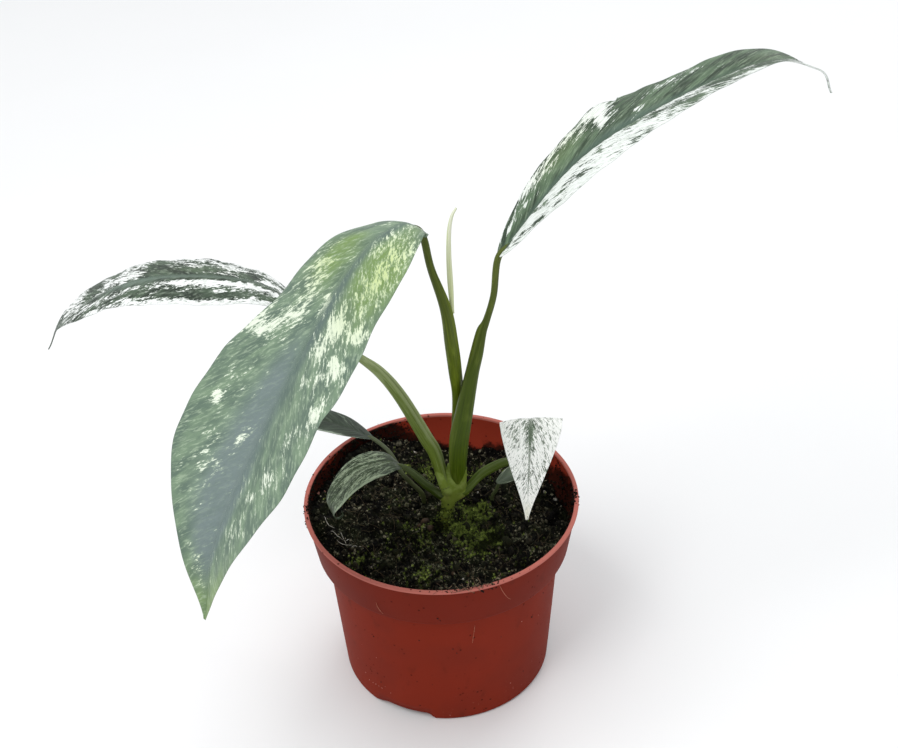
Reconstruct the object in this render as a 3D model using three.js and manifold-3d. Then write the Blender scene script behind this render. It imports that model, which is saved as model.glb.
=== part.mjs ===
// Potted variegated epipremnum giganteum: a round nursery pot, its soil, and one plant with seven leaves
// and a new shoot. Millimetres, +Z up. The origin is the middle of the plane that the pot stands on, and
// the front of the plant faces -Y.
import * as THREE from 'three';
import { mergeVertices } from 'three/addons/utils/BufferGeometryUtils.js';
import Module from 'manifold-3d';

const wasm = await Module();
wasm.setup();

// Clearance between pieces that touch in the real plant
const gap = 0.3;

// Pot: a thin bead round its top, a flared collar, a step and a tapering body
const potHeight = 89.5;
const lipRadius = 59;
const lipUnderside = 88.3;
const collarTopRadius = 58.2;
const collarRadius = 55.1;
const collarFoot = 67.9;
const bodyTop = 66.3;
const bodyTopRadius = 50.9;
const baseRadius = 46.3;
const cornerRadius = 1.5;
const wall = 1.1;
const potSegments = 60;

// Three drain recesses raise the edge of the base between three standing feet. Their ends lean inward on
// the way up, the first by more than the second.
const recessCount = 3;
const firstRecessAzimuth = 243;
const recessSpan = 40;
const recessHeight = 3.8;
const recessInnerRadius = 38;
const recessLean = [12, 4];
const slotSpan = 14;
const slotRadii = [39.5, 44];

// Soil: its level in the middle and the places where it is heaped up or sunk, each [x, y, rise, spread]
const soilLevel = 76;
const soilHills = [
  [-50, -2, 8, 22],
  [-34, 42, 9, 20],
  [8, 50, -4.5, 15],
  [2, -52, 4, 20],
  [52, 14, -4, 18],
];
const soilRoughness = 0.7;
const soilRings = 11;
const soilSectors = 44;

// Stem: the buried part is upright, the part above the soil leans to the right
const stem = {
  points: [[0.2, -5, 60], [0.3, -5, 76], [2.6, -5, 88], [5.2, -4.3, 99]],
  radius: [2.8, 2.6, 2.8, 3.9],
};

// Petioles: centre-line points, the radius at each, and for a sheathed one the height of its wing at each
const petioles = {
  big: {
    points: [
      [5.4, 0.4, 99.5], [7, 3.6, 117], [8.4, 2.6, 140], [7.6, -0.6, 156],
      [6.5, -3.5, 171], [4.5, -6.2, 190], [-0.2, -7.8, 210], [-2.6, -8.5, 224.1],
    ],
    radius: [2, 2, 2.2, 2.5, 2.5, 1.9, 1.5, 1.4],
  },
  right: {
    points: [
      [7.9, -5, 100], [7.9, -6, 112], [9, -6, 125], [11.2, -4.5, 138], [14.7, -2, 155],
      [17.3, -0.5, 164], [19.4, 1.5, 173], [21, 2.7, 178], [24, 5, 188.3], [26, 7.3, 203.7],
    ],
    radius: [2.7, 3.4, 3.6, 3.4, 2.6, 2, 1.5, 1.4, 1.35, 1.35],
    wing: [0, 0.8, 1.2, 0.7, 0.4, 1.5, 1.5, 0, 0, 0],
    wingFacing: [-1, 0, 0],
  },
  far: {
    points: [
      [1.9, -7.3, 101], [-1.8, -2, 114], [-5.9, 1, 121], [-15.8, 9, 136.5],
      [-24, 16, 144.5], [-34, 23, 150], [-46.7, 30.5, 160.4],
    ],
    radius: [2.3, 2.6, 2.5, 2.1, 1.9, 1.6, 1.5],
    wing: [0, 0.6, 1, 1.4, 1, 0, 0],
    wingFacing: [0.5, 0, 0.87],
  },
  small: {
    points: [[-0.2, -6.4, 95.4], [-6.4, -7.2, 102.4], [-11.4, -6.5, 108.2], [-15.4, -5.3, 110.9]],
    radius: [1.7, 1.7, 1.5, 1.1],
  },
  dark: {
    points: [
      [-7.8, 12, 66], [-7.8, 12, 74], [-8.4, 12, 81], [-13, 13, 86.6],
      [-17, 14, 92], [-22, 22, 97], [-29, 29.3, 98.9],
    ],
    radius: [1, 1, 1, 1, 1, 0.9, 0.9],
  },
  white: {
    points: [
      [10, -5.6, 96], [13.6, -4.4, 99.8], [18, -2, 103],
      [25, 1, 105], [31, 4.6, 104.6], [37.4, 8.6, 107.4],
    ],
    radius: [1.8, 1.8, 1.9, 1.9, 1.6, 1.2],
  },
  tiny: {
    points: [[22.2, 11, 66], [22.2, 11, 73], [22.4, 11, 79], [24, 10, 83], [25.1, 9.5, 86.9]],
    radius: [0.8, 0.8, 0.8, 0.8, 0.7],
  },
};
const newShoot = {
  points: [
    [7.4, -4.1, 188], [7, -3.9, 200], [6.8, -3.5, 212],
    [7.2, -3, 222], [8.4, -2.5, 228.6], [10.2, -2, 232],
  ],
  radius: [0.7, 1.05, 0.95, 0.85, 0.65, 0.4],
};
const petioleSides = 10;
const petioleSteps = 3;

// Blades. The midrib leaves the foot along the azimuth and follows the arch, given as [reach, rise]
// points, and its end is swayed to the left. The width follows a power law whose two exponents shape the
// base and the tip, and the tail is the share of the length that is a drip tip. Fold is the angle that
// each half is raised by and roll the turn about the midrib, both at the base, middle and tip, and curl
// is how far each half bends back down. Trim is what the right and the left half are wider by than the
// law, at even places from base to tip. Rows and columns are the faces along and across.
const leaves = {
  big: {
    foot: [-0.8, -8.5, 225], azimuth: 216.7, sway: 17.3,
    arch: [[14.2, 9.2], [43.2, -5.3], [105.4, -71.3], [121.3, -109.3]],
    width: 82.4, shape: [1.15, 1.24], tail: 0, fold: [-6.6, 12.9, 29.6], roll: [10.5, 11.5, -5], curl: 9.5,
    trim: [[0, 0, -6.3, 0, 2.7, -1, 0], [0, 2.2, -2.7, -0.9, 1.7, 1.2, 0]],
    rows: 30, columns: 8,
  },
  right: {
    foot: [26, 7.5, 204.4], azimuth: 6.5, sway: -4,
    arch: [[36, 43], [93, 72], [118.5, 69.5], [125, 59.5]],
    width: 43, shape: [0.76, 0.58], tail: 0.12,
    fold: [17.4, 9.2, 16.6], roll: [11.7, -9.3, -15], curl: 10.4,
    trim: [[0, -1.7, 2.7, 0.9, -2.1, -1.1, 0], [0, -1, -1.4, 2.5, -1.4, 0.8, 0]],
    rows: 30, columns: 6,
  },
  far: {
    foot: [-47.2, 30.7, 160.9], azimuth: 170.5, sway: 2,
    arch: [[27.5, 18.5], [75, 17], [111, -3], [123, -21]],
    width: 34, shape: [0.9, 0.8], tail: 0.06, fold: [-11.5, -2, 12.5], roll: [1.5, -0.9, -9], curl: 11,
    trim: [[0, 0, 0.3, 0, -1.7, -0.2, 0], [0, -0.8, 0.9, 0, -1.3, -0.8, 0]],
    rows: 24, columns: 6,
  },
  small: {
    foot: [-16.1, -4.9, 111.2], azimuth: 200, sway: 1.6,
    arch: [[5.9, 4.2], [19.2, 3.1], [30.7, -8.1], [31.2, -15.6], [29.5, -17.8], [27.4, -16.9], [27.6, -14.8]],
    width: 16.6, shape: [0.63, 0.69], tail: 0.15, fold: [0.5, 7.3, 14.7], roll: [-1.9, -1.1, -3], curl: 8.3,
    trim: [[0, 0.7, 0, -0.5, 0, 0], [0, 0.1, 0, -0.6, 0, 0]],
    rows: 40, columns: 4,
  },
  dark: {
    foot: [-29.5, 29.7, 99], azimuth: 152, sway: 0,
    arch: [[14, 1.8], [34, 1], [50, -5], [60, -12]],
    width: 14.5, shape: [0.8, 0.8], tail: 0.05, fold: [5, 8, 10], roll: [0, 0, 0], curl: 10,
    trim: [[0, 0], [0, 0]],
    rows: 14, columns: 4,
  },
  white: {
    foot: [38.4, 9.2, 108.4], azimuth: 270, sway: -3.1,
    arch: [[2.1, 11.8], [8.6, 20.4], [21.5, 13.6], [34, -12.1]],
    width: 25, shape: [0.6, 1.33], tail: 0, fold: [3, 1, 3], roll: [1, 0.8, -1], curl: 12,
    trim: [[0, -0.4, -0.2, -0.2, -0.3, 0], [0, 0, 0.5, 0, -0.1, 0]],
    rows: 22, columns: 6,
  },
  tiny: {
    foot: [24.4, 9.4, 87.7], azimuth: 28, sway: 0,
    arch: [[8, 2], [16, 2], [22, 0]],
    width: 8, shape: [0.7, 0.7], tail: 0, fold: [5, 8, 10], roll: [0, 0, 0], curl: 10,
    trim: [[0, 0], [0, 0]],
    rows: 10, columns: 4,
  },
};
const bladeThickness = 0.8;
const footHalfWidth = 0.6;

const colours = {
  plastic: 0x96382c,
  peat: 0x2a221b,
  bark: 0x5a6b2c,
  stalk: 0x5f7d33,
  shoot: 0xb9c77e,
  lime: 0x7f9c68,
  green: 0x5d7a5c,
  grey: 0x6d7f6c,
  shade: 0x46584b,
  cream: 0xdfe3d6,
};

function vector(values) {
  return new THREE.Vector3(...values);
}

function radians(degrees) {
  return THREE.MathUtils.degToRad(degrees);
}

// Indexed geometry from points and triangles
function geometryOf(points, triangles) {
  const geometry = new THREE.BufferGeometry();
  const places = points.flatMap((point) => point.toArray());
  geometry.setAttribute('position', new THREE.Float32BufferAttribute(places, 3));
  geometry.setIndex(triangles.flat());
  return geometry;
}

// Solid and geometry forms of the same closed surface
function solidOf(geometry) {
  const bare = geometry.clone();
  bare.deleteAttribute('normal');
  bare.deleteAttribute('uv');
  const joined = mergeVertices(bare, 1e-4);
  return new wasm.Manifold(new wasm.Mesh({
    numProp: 3,
    vertProperties: new Float32Array(joined.attributes.position.array),
    triVerts: new Uint32Array(joined.index.array),
  }));
}

function geometryFrom(solid) {
  const { vertProperties, triVerts } = solid.getMesh();
  const geometry = new THREE.BufferGeometry();
  geometry.setAttribute('position', new THREE.BufferAttribute(new Float32Array(vertProperties), 3));
  geometry.setIndex(new THREE.BufferAttribute(new Uint32Array(triVerts), 1));
  return geometry;
}

// Closed body through rings of points that run anticlockwise as seen from the end they lead to
function loft(rings) {
  const sides = rings[0].length;
  const triangles = [];
  for (let i = 0; i + 1 < rings.length; i += 1) {
    for (let j = 0; j < sides; j += 1) {
      const a = i * sides + j;
      const b = i * sides + (j + 1) % sides;
      triangles.push([a, b, b + sides], [a, b + sides, a + sides]);
    }
  }
  const last = (rings.length - 1) * sides;
  for (let j = 1; j + 1 < sides; j += 1) {
    triangles.push([0, j + 1, j], [last, last + j, last + j + 1]);
  }
  return geometryOf(rings.flat(), triangles);
}

// Body of revolution about the vertical axis from [radius, height] points
function turned(profile) {
  const points = profile.map(([radius, height]) => new THREE.Vector2(radius, height));
  return solidOf(new THREE.LatheGeometry(points, potSegments).rotateX(Math.PI / 2));
}

// Block between two radii, two heights and two azimuths, each end leaning inward on the way up
function ringBlock(radii, heights, azimuths, [firstLean, secondLean]) {
  const steps = 8;
  const rings = [];
  for (let i = 0; i <= steps; i += 1) {
    const low = THREE.MathUtils.lerp(azimuths[0], azimuths[1], i / steps);
    const high = THREE.MathUtils.lerp(azimuths[0] + firstLean, azimuths[1] - secondLean, i / steps);
    const corners = [
      [radii[0], heights[0], low],
      [radii[0], heights[1], high],
      [radii[1], heights[1], high],
      [radii[1], heights[0], low],
    ];
    rings.push(corners.map(([radius, height, azimuth]) => new THREE.Vector3(
      radius * Math.cos(radians(azimuth)),
      radius * Math.sin(radians(azimuth)),
      height,
    )));
  }
  return solidOf(loft(rings));
}

function recessAzimuths() {
  return Array.from({ length: recessCount }, (_, i) => firstRecessAzimuth + i * 360 / recessCount);
}

// The three recesses as blocks, grown on all sides by a margin
function recesses(margin) {
  const spread = recessSpan / 2 + THREE.MathUtils.radToDeg(margin / recessInnerRadius);
  const blocks = recessAzimuths().map((middle) => ringBlock(
    [recessInnerRadius - margin, lipRadius],
    [-2, recessHeight + margin],
    [middle - spread, middle + spread],
    recessLean,
  ));
  return wasm.Manifold.union(blocks);
}

// The inside of the pot, drawn in by a margin from the wall
function cavity(margin) {
  const inset = wall + margin;
  const space = turned([
    [0, inset],
    [baseRadius - inset - cornerRadius, inset],
    [baseRadius + 0.1 - inset, inset + cornerRadius],
    [bodyTopRadius - inset, bodyTop + 0.7 + margin],
    [collarRadius - inset, collarFoot + 1 + margin],
    [collarTopRadius - inset, lipUnderside],
    [collarTopRadius - inset, potHeight + 5],
    [0, potHeight + 5],
  ]);
  return space.subtract(recesses(inset));
}

function buildPot() {
  const corner = [0, 30, 60, 90].map((angle) => [
    baseRadius - cornerRadius * (1 - Math.sin(radians(angle))),
    cornerRadius * (1 - Math.cos(radians(angle))),
  ]);
  const outside = turned([
    [0, 0],
    ...corner,
    [bodyTopRadius, bodyTop],
    [collarRadius - 0.6, collarFoot - 0.3],
    [collarRadius, collarFoot + 0.4],
    [collarTopRadius, lipUnderside],
    [lipRadius - 0.3, lipUnderside],
    [lipRadius, lipUnderside + 0.3],
    [lipRadius, potHeight - 0.4],
    [lipRadius - 0.4, potHeight],
    [0, potHeight],
  ]);
  const slots = recessAzimuths().map((middle) => ringBlock(
    slotRadii,
    [-2, recessHeight + 3 * wall],
    [middle - slotSpan / 2, middle + slotSpan / 2],
    [0, 0],
  ));
  return outside.subtract(recesses(0)).subtract(cavity(0)).subtract(wasm.Manifold.union(slots));
}

// Height of the soil's top: its level, its hills and hollows, and small lumps
function soilHeight(x, y) {
  let height = soilLevel;
  for (const [hillX, hillY, rise, spread] of soilHills) {
    height += rise * Math.exp(-((x - hillX) ** 2 + (y - hillY) ** 2) / spread ** 2);
  }
  const lumps = Math.sin(0.55 * x + 1.3) * Math.cos(0.47 * y) + Math.sin(0.31 * x - 0.62 * y);
  return height + soilRoughness * lumps;
}

// Solid under the soil's top, wider and deeper than the pot's inside
function soilRelief() {
  const points = [new THREE.Vector3(0, 0, soilHeight(0, 0))];
  const triangles = [];
  for (let ring = 1; ring <= soilRings; ring += 1) {
    const radius = lipRadius * ring / soilRings;
    for (let sector = 0; sector < soilSectors; sector += 1) {
      const angle = 2 * Math.PI * sector / soilSectors;
      const x = radius * Math.cos(angle);
      const y = radius * Math.sin(angle);
      points.push(new THREE.Vector3(x, y, soilHeight(x, y)));
    }
  }
  const at = (ring, sector) => 1 + (ring - 1) * soilSectors + sector % soilSectors;
  const underside = points.length;
  for (let sector = 0; sector < soilSectors; sector += 1) {
    triangles.push([0, at(1, sector), at(1, sector + 1)]);
    for (let ring = 1; ring < soilRings; ring += 1) {
      triangles.push([at(ring, sector), at(ring + 1, sector), at(ring + 1, sector + 1)]);
      triangles.push([at(ring, sector), at(ring + 1, sector + 1), at(ring, sector + 1)]);
    }
    const edge = points[at(soilRings, sector)];
    points.push(new THREE.Vector3(edge.x, edge.y, -5));
  }
  const middle = points.push(new THREE.Vector3(0, 0, -5)) - 1;
  for (let sector = 0; sector < soilSectors; sector += 1) {
    const below = underside + sector;
    const next = underside + (sector + 1) % soilSectors;
    const edge = at(soilRings, sector);
    triangles.push([edge, below, next], [edge, next, at(soilRings, sector + 1)]);
    triangles.push([middle, next, below]);
  }
  return solidOf(geometryOf(points, triangles));
}

// Plain upright hole for a stalk that stands in the soil, its floor just under the stalk's end
function soilHole(stalk) {
  const [x, y, foot] = stalk.points[0];
  const radius = stalk.radius[0] + gap + 0.2;
  const depth = soilLevel + 20 - foot;
  return wasm.Manifold.cylinder(depth, radius, radius, 24).translate([x, y, foot - gap]);
}

function buildSoil() {
  const fill = cavity(gap).intersect(soilRelief());
  const holes = [stem, petioles.dark, petioles.tiny].map(soilHole);
  return fill.subtract(wasm.Manifold.union(holes));
}

function spline(points) {
  return new THREE.CatmullRomCurve3(points, false, 'catmullrom', 0.5);
}

// Round stalk along its points, with a sheath's wing raised on the side that it faces
function buildStalk({ points, radius, wing = radius.map(() => 0), wingFacing = [0, 1, 0] }) {
  const line = spline(points.map(vector));
  const sizes = spline(radius.map((value, i) => new THREE.Vector3(value, wing[i], 0)));
  const steps = (points.length - 1) * petioleSteps;
  const rings = [];
  for (let i = 0; i <= steps; i += 1) {
    const share = i / steps;
    const centre = line.getPoint(share);
    const size = sizes.getPoint(share);
    const ahead = line.getTangent(share);
    const across = vector(wingFacing).cross(ahead).normalize();
    const facing = ahead.clone().cross(across);
    const ring = [];
    for (let j = 0; j < petioleSides; j += 1) {
      const angle = 2 * Math.PI * j / petioleSides;
      const reach = size.x + Math.max(size.y, 0) * Math.max(Math.cos(angle), 0) ** 6;
      ring.push(centre.clone()
        .addScaledVector(facing, reach * Math.cos(angle))
        .addScaledVector(across, -reach * Math.sin(angle)));
    }
    rings.push(ring);
  }
  return loft(rings);
}

// Midrib of a blade in space
function midrib(leaf) {
  const heading = new THREE.Vector3(Math.cos(radians(leaf.azimuth)), Math.sin(radians(leaf.azimuth)), 0);
  const left = new THREE.Vector3(-heading.y, heading.x, 0);
  const longest = Math.max(...leaf.arch.map(([reach]) => reach));
  const points = [[0, 0], ...leaf.arch].map(([reach, rise]) => vector(leaf.foot)
    .addScaledVector(heading, reach)
    .addScaledVector(left, leaf.sway * (reach / longest) ** 2)
    .add(new THREE.Vector3(0, 0, rise)));
  return spline(points);
}

// Value of an even profile at a share of the way from base to tip
function profileAt(values, along) {
  const place = along * (values.length - 1);
  const before = Math.min(Math.floor(place), values.length - 2);
  return THREE.MathUtils.lerp(values[before], values[before + 1], place - before);
}

// Widths of a blade's right and left half at a share of the way from base to tip
function halfWidths(leaf, along) {
  const [base, tip] = leaf.shape;
  const peak = base / (base + tip);
  const share = Math.min(along / (1 - leaf.tail), 1);
  const law = (x) => x ** base * (1 - x) ** tip;
  const width = leaf.width / 2 * law(share) / law(peak);
  const [right, left] = leaf.trim;
  const { x, y } = spline(right.map((value, i) => new THREE.Vector3(value, left[i], 0))).getPoint(share);
  return [x, y].map((extra) => Math.max(width + extra, 0) + footHalfWidth);
}

// Points of a blade's middle surface across one row, from its right margin to its left one
function bladeRow(leaf, line, along) {
  const centre = line.getPointAt(along);
  const ahead = line.getTangentAt(along);
  const azimuth = radians(leaf.azimuth);
  const level = new THREE.Vector3(-Math.sin(azimuth), Math.cos(azimuth), 0);
  const roll = radians(profileAt(leaf.roll, along));
  const left = level.addScaledVector(ahead, -level.dot(ahead)).normalize().applyAxisAngle(ahead, roll);
  const up = ahead.clone().cross(left);
  const fold = radians(profileAt(leaf.fold, along));
  const [rightWidth, leftWidth] = halfWidths(leaf, along);
  const row = [];
  for (let j = 0; j <= leaf.columns; j += 1) {
    const place = 2 * j / leaf.columns - 1;
    const width = place > 0 ? leftWidth : rightWidth;
    const bend = radians(leaf.curl) * Math.abs(place) / 2;
    const reach = bend > 0 ? width * Math.abs(place) * Math.sin(bend) / bend : 0;
    row.push(centre.clone()
      .addScaledVector(left, Math.sign(place) * reach * Math.cos(fold - bend))
      .addScaledVector(up, reach * Math.sin(fold - bend)));
  }
  return row;
}

// Unit normal of a grid of points at one of them, facing the blade's upper side
function gridNormal(grid, i, j) {
  const before = grid[Math.max(i - 1, 0)][j];
  const after = grid[Math.min(i + 1, grid.length - 1)][j];
  const right = grid[i][Math.max(j - 1, 0)];
  const left = grid[i][Math.min(j + 1, grid[i].length - 1)];
  return after.clone().sub(before).cross(left.clone().sub(right)).normalize();
}

// Blade as a thin closed sheet, both faces split into triangles alike
function buildBlade(leaf) {
  const line = midrib(leaf);
  const grid = Array.from({ length: leaf.rows + 1 }, (_, i) => bladeRow(leaf, line, i / leaf.rows));
  const wide = leaf.columns + 1;
  const shift = (side) => grid.flatMap((row, i) => row.map((point, j) => point.clone()
    .addScaledVector(gridNormal(grid, i, j), side * bladeThickness / 2)));
  const points = [...shift(1), ...shift(-1)];
  const under = wide * grid.length;
  const triangles = [];
  for (let i = 0; i < leaf.rows; i += 1) {
    for (let j = 0; j < leaf.columns; j += 1) {
      const a = i * wide + j;
      const [b, c, d] = [a + 1, a + wide, a + wide + 1];
      triangles.push([a, c, d], [a, d, b]);
      triangles.push([under + a, under + d, under + c], [under + a, under + b, under + d]);
    }
    const right = i * wide;
    const left = right + leaf.columns;
    triangles.push([right, under + right, under + right + wide]);
    triangles.push([right, under + right + wide, right + wide]);
    triangles.push([left, left + wide, under + left + wide]);
    triangles.push([left, under + left + wide, under + left]);
  }
  for (let j = 0; j < leaf.columns; j += 1) {
    const tip = leaf.rows * wide + j;
    triangles.push([j, j + 1, under + j + 1], [j, under + j + 1, under + j]);
    triangles.push([tip, under + tip, under + tip + 1], [tip, under + tip + 1, tip + 1]);
  }
  return geometryOf(points, triangles);
}

const group = new THREE.Group();
group.name = 'potted_epipremnum';

function addPiece(name, geometry, colour, roughness) {
  const mesh = new THREE.Mesh(geometry, new THREE.MeshStandardMaterial({ color: colour, roughness }));
  mesh.name = name;
  group.add(mesh);
}

addPiece('pot', geometryFrom(buildPot()), colours.plastic, 0.55);
addPiece('soil', geometryFrom(buildSoil()), colours.peat, 1);
addPiece('stem', buildStalk(stem), colours.bark, 0.7);

const bladeColours = {
  big: colours.lime,
  right: colours.green,
  far: colours.green,
  small: colours.grey,
  dark: colours.shade,
  white: colours.cream,
  tiny: colours.grey,
};
for (const name of Object.keys(leaves)) {
  addPiece(`${name}_leaf_petiole`, buildStalk(petioles[name]), colours.stalk, 0.5);
  addPiece(`${name}_leaf_blade`, buildBlade(leaves[name]), bladeColours[name], 0.4);
}
addPiece('new_shoot', buildStalk(newShoot), colours.shoot, 0.5);

export default group;
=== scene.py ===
"""Looks of a potted variegated epipremnum giganteum: fine leaves, soil, moss and pot over the solid model.

Lengths are millimetres until a mesh is made, and metres in the scene.
"""
import math

import bmesh
import bpy
import numpy as np
from mathutils import Matrix, Vector


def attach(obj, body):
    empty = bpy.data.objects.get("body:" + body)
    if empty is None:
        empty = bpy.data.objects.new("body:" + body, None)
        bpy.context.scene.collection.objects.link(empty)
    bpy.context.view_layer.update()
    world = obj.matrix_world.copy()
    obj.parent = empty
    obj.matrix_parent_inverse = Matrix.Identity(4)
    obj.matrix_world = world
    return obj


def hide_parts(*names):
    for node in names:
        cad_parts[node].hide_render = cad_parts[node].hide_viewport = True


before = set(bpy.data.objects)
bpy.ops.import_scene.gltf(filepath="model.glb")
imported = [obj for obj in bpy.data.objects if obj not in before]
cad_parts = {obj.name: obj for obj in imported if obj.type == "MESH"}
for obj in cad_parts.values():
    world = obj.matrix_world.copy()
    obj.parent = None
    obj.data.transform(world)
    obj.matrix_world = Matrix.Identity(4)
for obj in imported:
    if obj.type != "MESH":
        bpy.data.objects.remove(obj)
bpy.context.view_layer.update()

MM = 0.001
SCENE = bpy.context.scene
SEED = 20

# Camera: its distance from the point it looks at, and how far it looks down and is turned
CAMERA_FOCUS = (5.3, 0.0, 154.2)
CAMERA_DISTANCE = 605.1
CAMERA_PITCH = 36.04
CAMERA_ROLL = -2.08
CAMERA_LENS = 60.0

# Light: the world's colour and strength, and the lamps, each (place, size, power), that all face one point
WORLD_COLOUR = (0.96, 0.98, 1.0, 1.0)
WORLD_STRENGTH = 0.72
LAMP_TARGET = (0, 0, 0.12)
LAMPS = {"key": ((-0.6, -0.5, 1.3), 0.8, 12), "back": ((0.5, 0.9, 1.1), 0.8, 5)}
FLOOR_HALF_SIZE = 3

# Pot, as in the solid model. The lip's rounds are its lower and its upper one, and each recess in the foot
# leans at its two ends.
POT_HEIGHT = 89.5
LIP_RADIUS = 59.0
LIP_UNDERSIDE = 88.3
COLLAR_TOP_RADIUS = 58.2
COLLAR_RADIUS = 55.1
COLLAR_FOOT = 67.9
BODY_TOP = 66.3
BODY_TOP_RADIUS = 50.9
BASE_RADIUS = 46.3
CORNER_RADIUS = 1.5
WALL = 1.1
LIP_ROUND = (0.35, 0.5)
POT_SEGMENTS = 240
RECESS_AZIMUTHS = (243.0, 3.0, 123.0)
RECESS_SPAN = 40.0
RECESS_LEAN = (12.0, 4.0)
RECESS_HEIGHT = 3.8
RECESS_INNER_RADIUS = 38.0
SLOT_SPAN = 14.0
SLOT_RADII = (39.5, 44.0)
SLOT_HEIGHTS = (-2, 9)

# Soil: its level, the places where it is heaped up or sunk, each (x, y, rise, spread), the radius at which
# it meets the wall, how far out crumbs lie, its gap to the wall, and the sectors and rings of its top
SOIL_LEVEL = 76.0
SOIL_HILLS = ((-50, -2, 8, 22), (-34, 42, 9, 20), (8, 50, -4.5, 15), (2, -52, 4, 20), (52, 14, -4, 18))
SOIL_ROUGHNESS = 0.7
SOIL_EDGE = 54.0
SOIL_REACH = 54.5
SOIL_GAP = 0.25
SOIL_GRID = (300, 120)

# Clods and crumbs of the soil's top, from the coarsest to the finest, each (size, rise)
SOIL_CRUMBLE = ((6.0, 0.7), (3.0, 0.5), (1.5, 0.45), (0.8, 0.4))
NOISE_LATTICE = 64

# Loose crumbs come in so many shapes
CRUMB_SHAPES = 6

# Soil that clings to the inside of the wall, each (azimuth, its spread, count, reach over the soil)
WALL_DIRT = (
    (120, 12, 420, 11), (150, 16, 160, 3), (177, 17, 340, 12.5), (60, 25, 120, 1), (5, 24, 420, 15),
    (270, 60, 220, 0.5),
)

# Crumbs of soil left on the pot's lip, each (azimuth, its spread, count, size)
LIP_CRUMBS = (
    (277, 4.5, 90, 0.8), (287, 3.5, 50, 0.7), (357, 2.2, 40, 0.9), (300, 8, 14, 0.5), (250, 30, 16, 0.4),
    (183, 6, 70, 0.7), (90, 60, 20, 0.5),
)

# Grains stuck to the pot's outside, each (azimuth, height, size)
DARK_GRAINS = (
    (230.5, 46.4, 0.7), (231.4, 45.6, 0.9), (218.3, 44.1, 0.7), (225.7, 46.4, 0.6), (257, 52.5, 0.9),
    (273.2, 47.6, 1.0), (275, 44.6, 0.9), (327.1, 56.5, 0.9), (318, 48.3, 1.0), (314.5, 15.6, 0.8),
    (254.4, 8.5, 0.9), (234.2, 46.1, 0.6), (298, 47.8, 0.7), (240.1, 31.3, 0.5), (231.6, 15.5, 0.8),
    (267, 72, 0.9), (268, 70.5, 0.7), (312, 74, 0.5), (205, 60, 0.6), (245, 61, 0.5), (262, 24, 0.5),
)
PALE_GRAINS = (
    (310.5, 50.5, 1.0), (305.4, 13.5, 0.8), (231, 31.6, 0.6), (219.6, 14.4, 0.8), (222.2, 11.1, 0.6),
    (225, 11.2, 0.7), (227.3, 11.6, 0.9), (229.5, 11.6, 0.7), (231.6, 11.4, 1.1), (237.3, 11, 0.7),
    (270.4, 3, 0.7), (323.9, 45.2, 0.6), (221, 34, 0.4), (214, 20, 0.5), (234, 13.5, 0.5),
)

# Stones and lumps on the soil, each (x, y, size)
PERLITE = (
    (-11.6, 42.8, 1.8), (46.2, 19.4, 1.7), (50.3, 13.7, 1.9), (52.6, 10.2, 1.8), (16.3, 16, 1.3),
    (-1.3, -22.3, 1.1), (-20.5, 20.1, 1.2), (24, -8, 1.0), (-30, -30, 0.9), (8, -40, 1.0),
)
PINK_STONES = ((-54.5, 12.5, 2.6), (-51.5, 15.5, 1.5))
BARK = ((-7.4, -2, 4.2), (-5.2, -7.3, 3.6), (-10, -5.5, 3.2), (4, -36, 2.8), (10, -38, 2.2))

# How far out fibres lie on the soil, and the azimuth and spread of those in the clump on the lip
FIBRE_REACH = 50.0
LIP_CLUMP = (280, 6)

# Pale fibres lying on the soil, each (x, y) point to point
PALE_FIBRES = (
    ((-47.5, -12.5), (-44, -15.5), (-41, -16.2), (-39.5, -15.4)),
    ((-44.8, -16.8), (-41.6, -18.6), (-38, -18.8)),
    ((-43.2, -13.4), (-41.4, -16.8), (-40.6, -19.4)),
    ((-38.4, -20.4), (-36, -19.4), (-33.6, -19.8)),
    ((-50.2, -6.4), (-48.8, -9.2), (-46, -10.4)),
)

# Fine roots stuck to the pot's outside, each (azimuth, height) point to point
WALL_HAIRS = (
    ((231.6, 65.0), (234.6, 65.6), (237.6, 64.6)),
    ((240.3, 76.0), (240.6, 73.4), (241.6, 71.2), (242.8, 69.3)),
    ((284.1, 60.8), (283.4, 55.3), (282.8, 49.7)),
    ((292.6, 88.0), (294.4, 82.9), (296.9, 77.7), (298.8, 75.2)),
)

# Moss cushions on the soil, each (x, y, spread, shoots, heap over the soil)
MOSS_PATCHES = (
    (1, -5, 4.5, 420, 5), (8, -8, 6, 420, 2), (21, -13, 6, 560, 1.5), (15, 3, 8, 400, 1),
    (14, -19, 7, 260, 0.5), (-8, 30, 7, 160, 0.5), (16, 30, 8, 100, 0), (-12, -12, 10, 150, 0),
    (-8, -38, 7, 130, 0), (-46, 8, 8, 80, 0), (30, -30, 10, 60, 0), (-34, -26, 8, 70, 0),
    (0, 0, 46, 160, 0),
)

# A moss leaf's length and half its width, in a shoot that is 1 high
MOSS_LEAF = (0.5, 0.075)

# How far out moss grows, how far it climbs the stem, and the radius at which it sits there
MOSS_EDGE = 52.0
STEM_MOSS_REACH = 19.0
STEM_MOSS_RADIUS = 2.4

# Pale tufts of algae and fine moss all over the soil, in the terms of the moss cushions
TUFT_PATCHES = ((0, 0, 52, 1700, 0), (-5, -34, 20, 800, 0), (-34, -16, 14, 400, 0), (34, -14, 14, 400, 0))

# Stem and the short fork that webs the feet of its petioles: points of the centre line and the radius at
# each, (x, y, z, radius)
STEM = ((0.2, -5, 60, 2.8), (0.3, -5, 76, 2.6), (2.6, -5, 88, 2.9), (5, -4.2, 98, 4), (6.1, -3.8, 104, 3.6))
FORK = ((4.8, -5, 98, 3.4), (4.6, -4.4, 104.5, 2.6), (4.3, -3.6, 110.5, 1.2))
STEM_RINGS = 15
STEM_SIDES = 20

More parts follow.
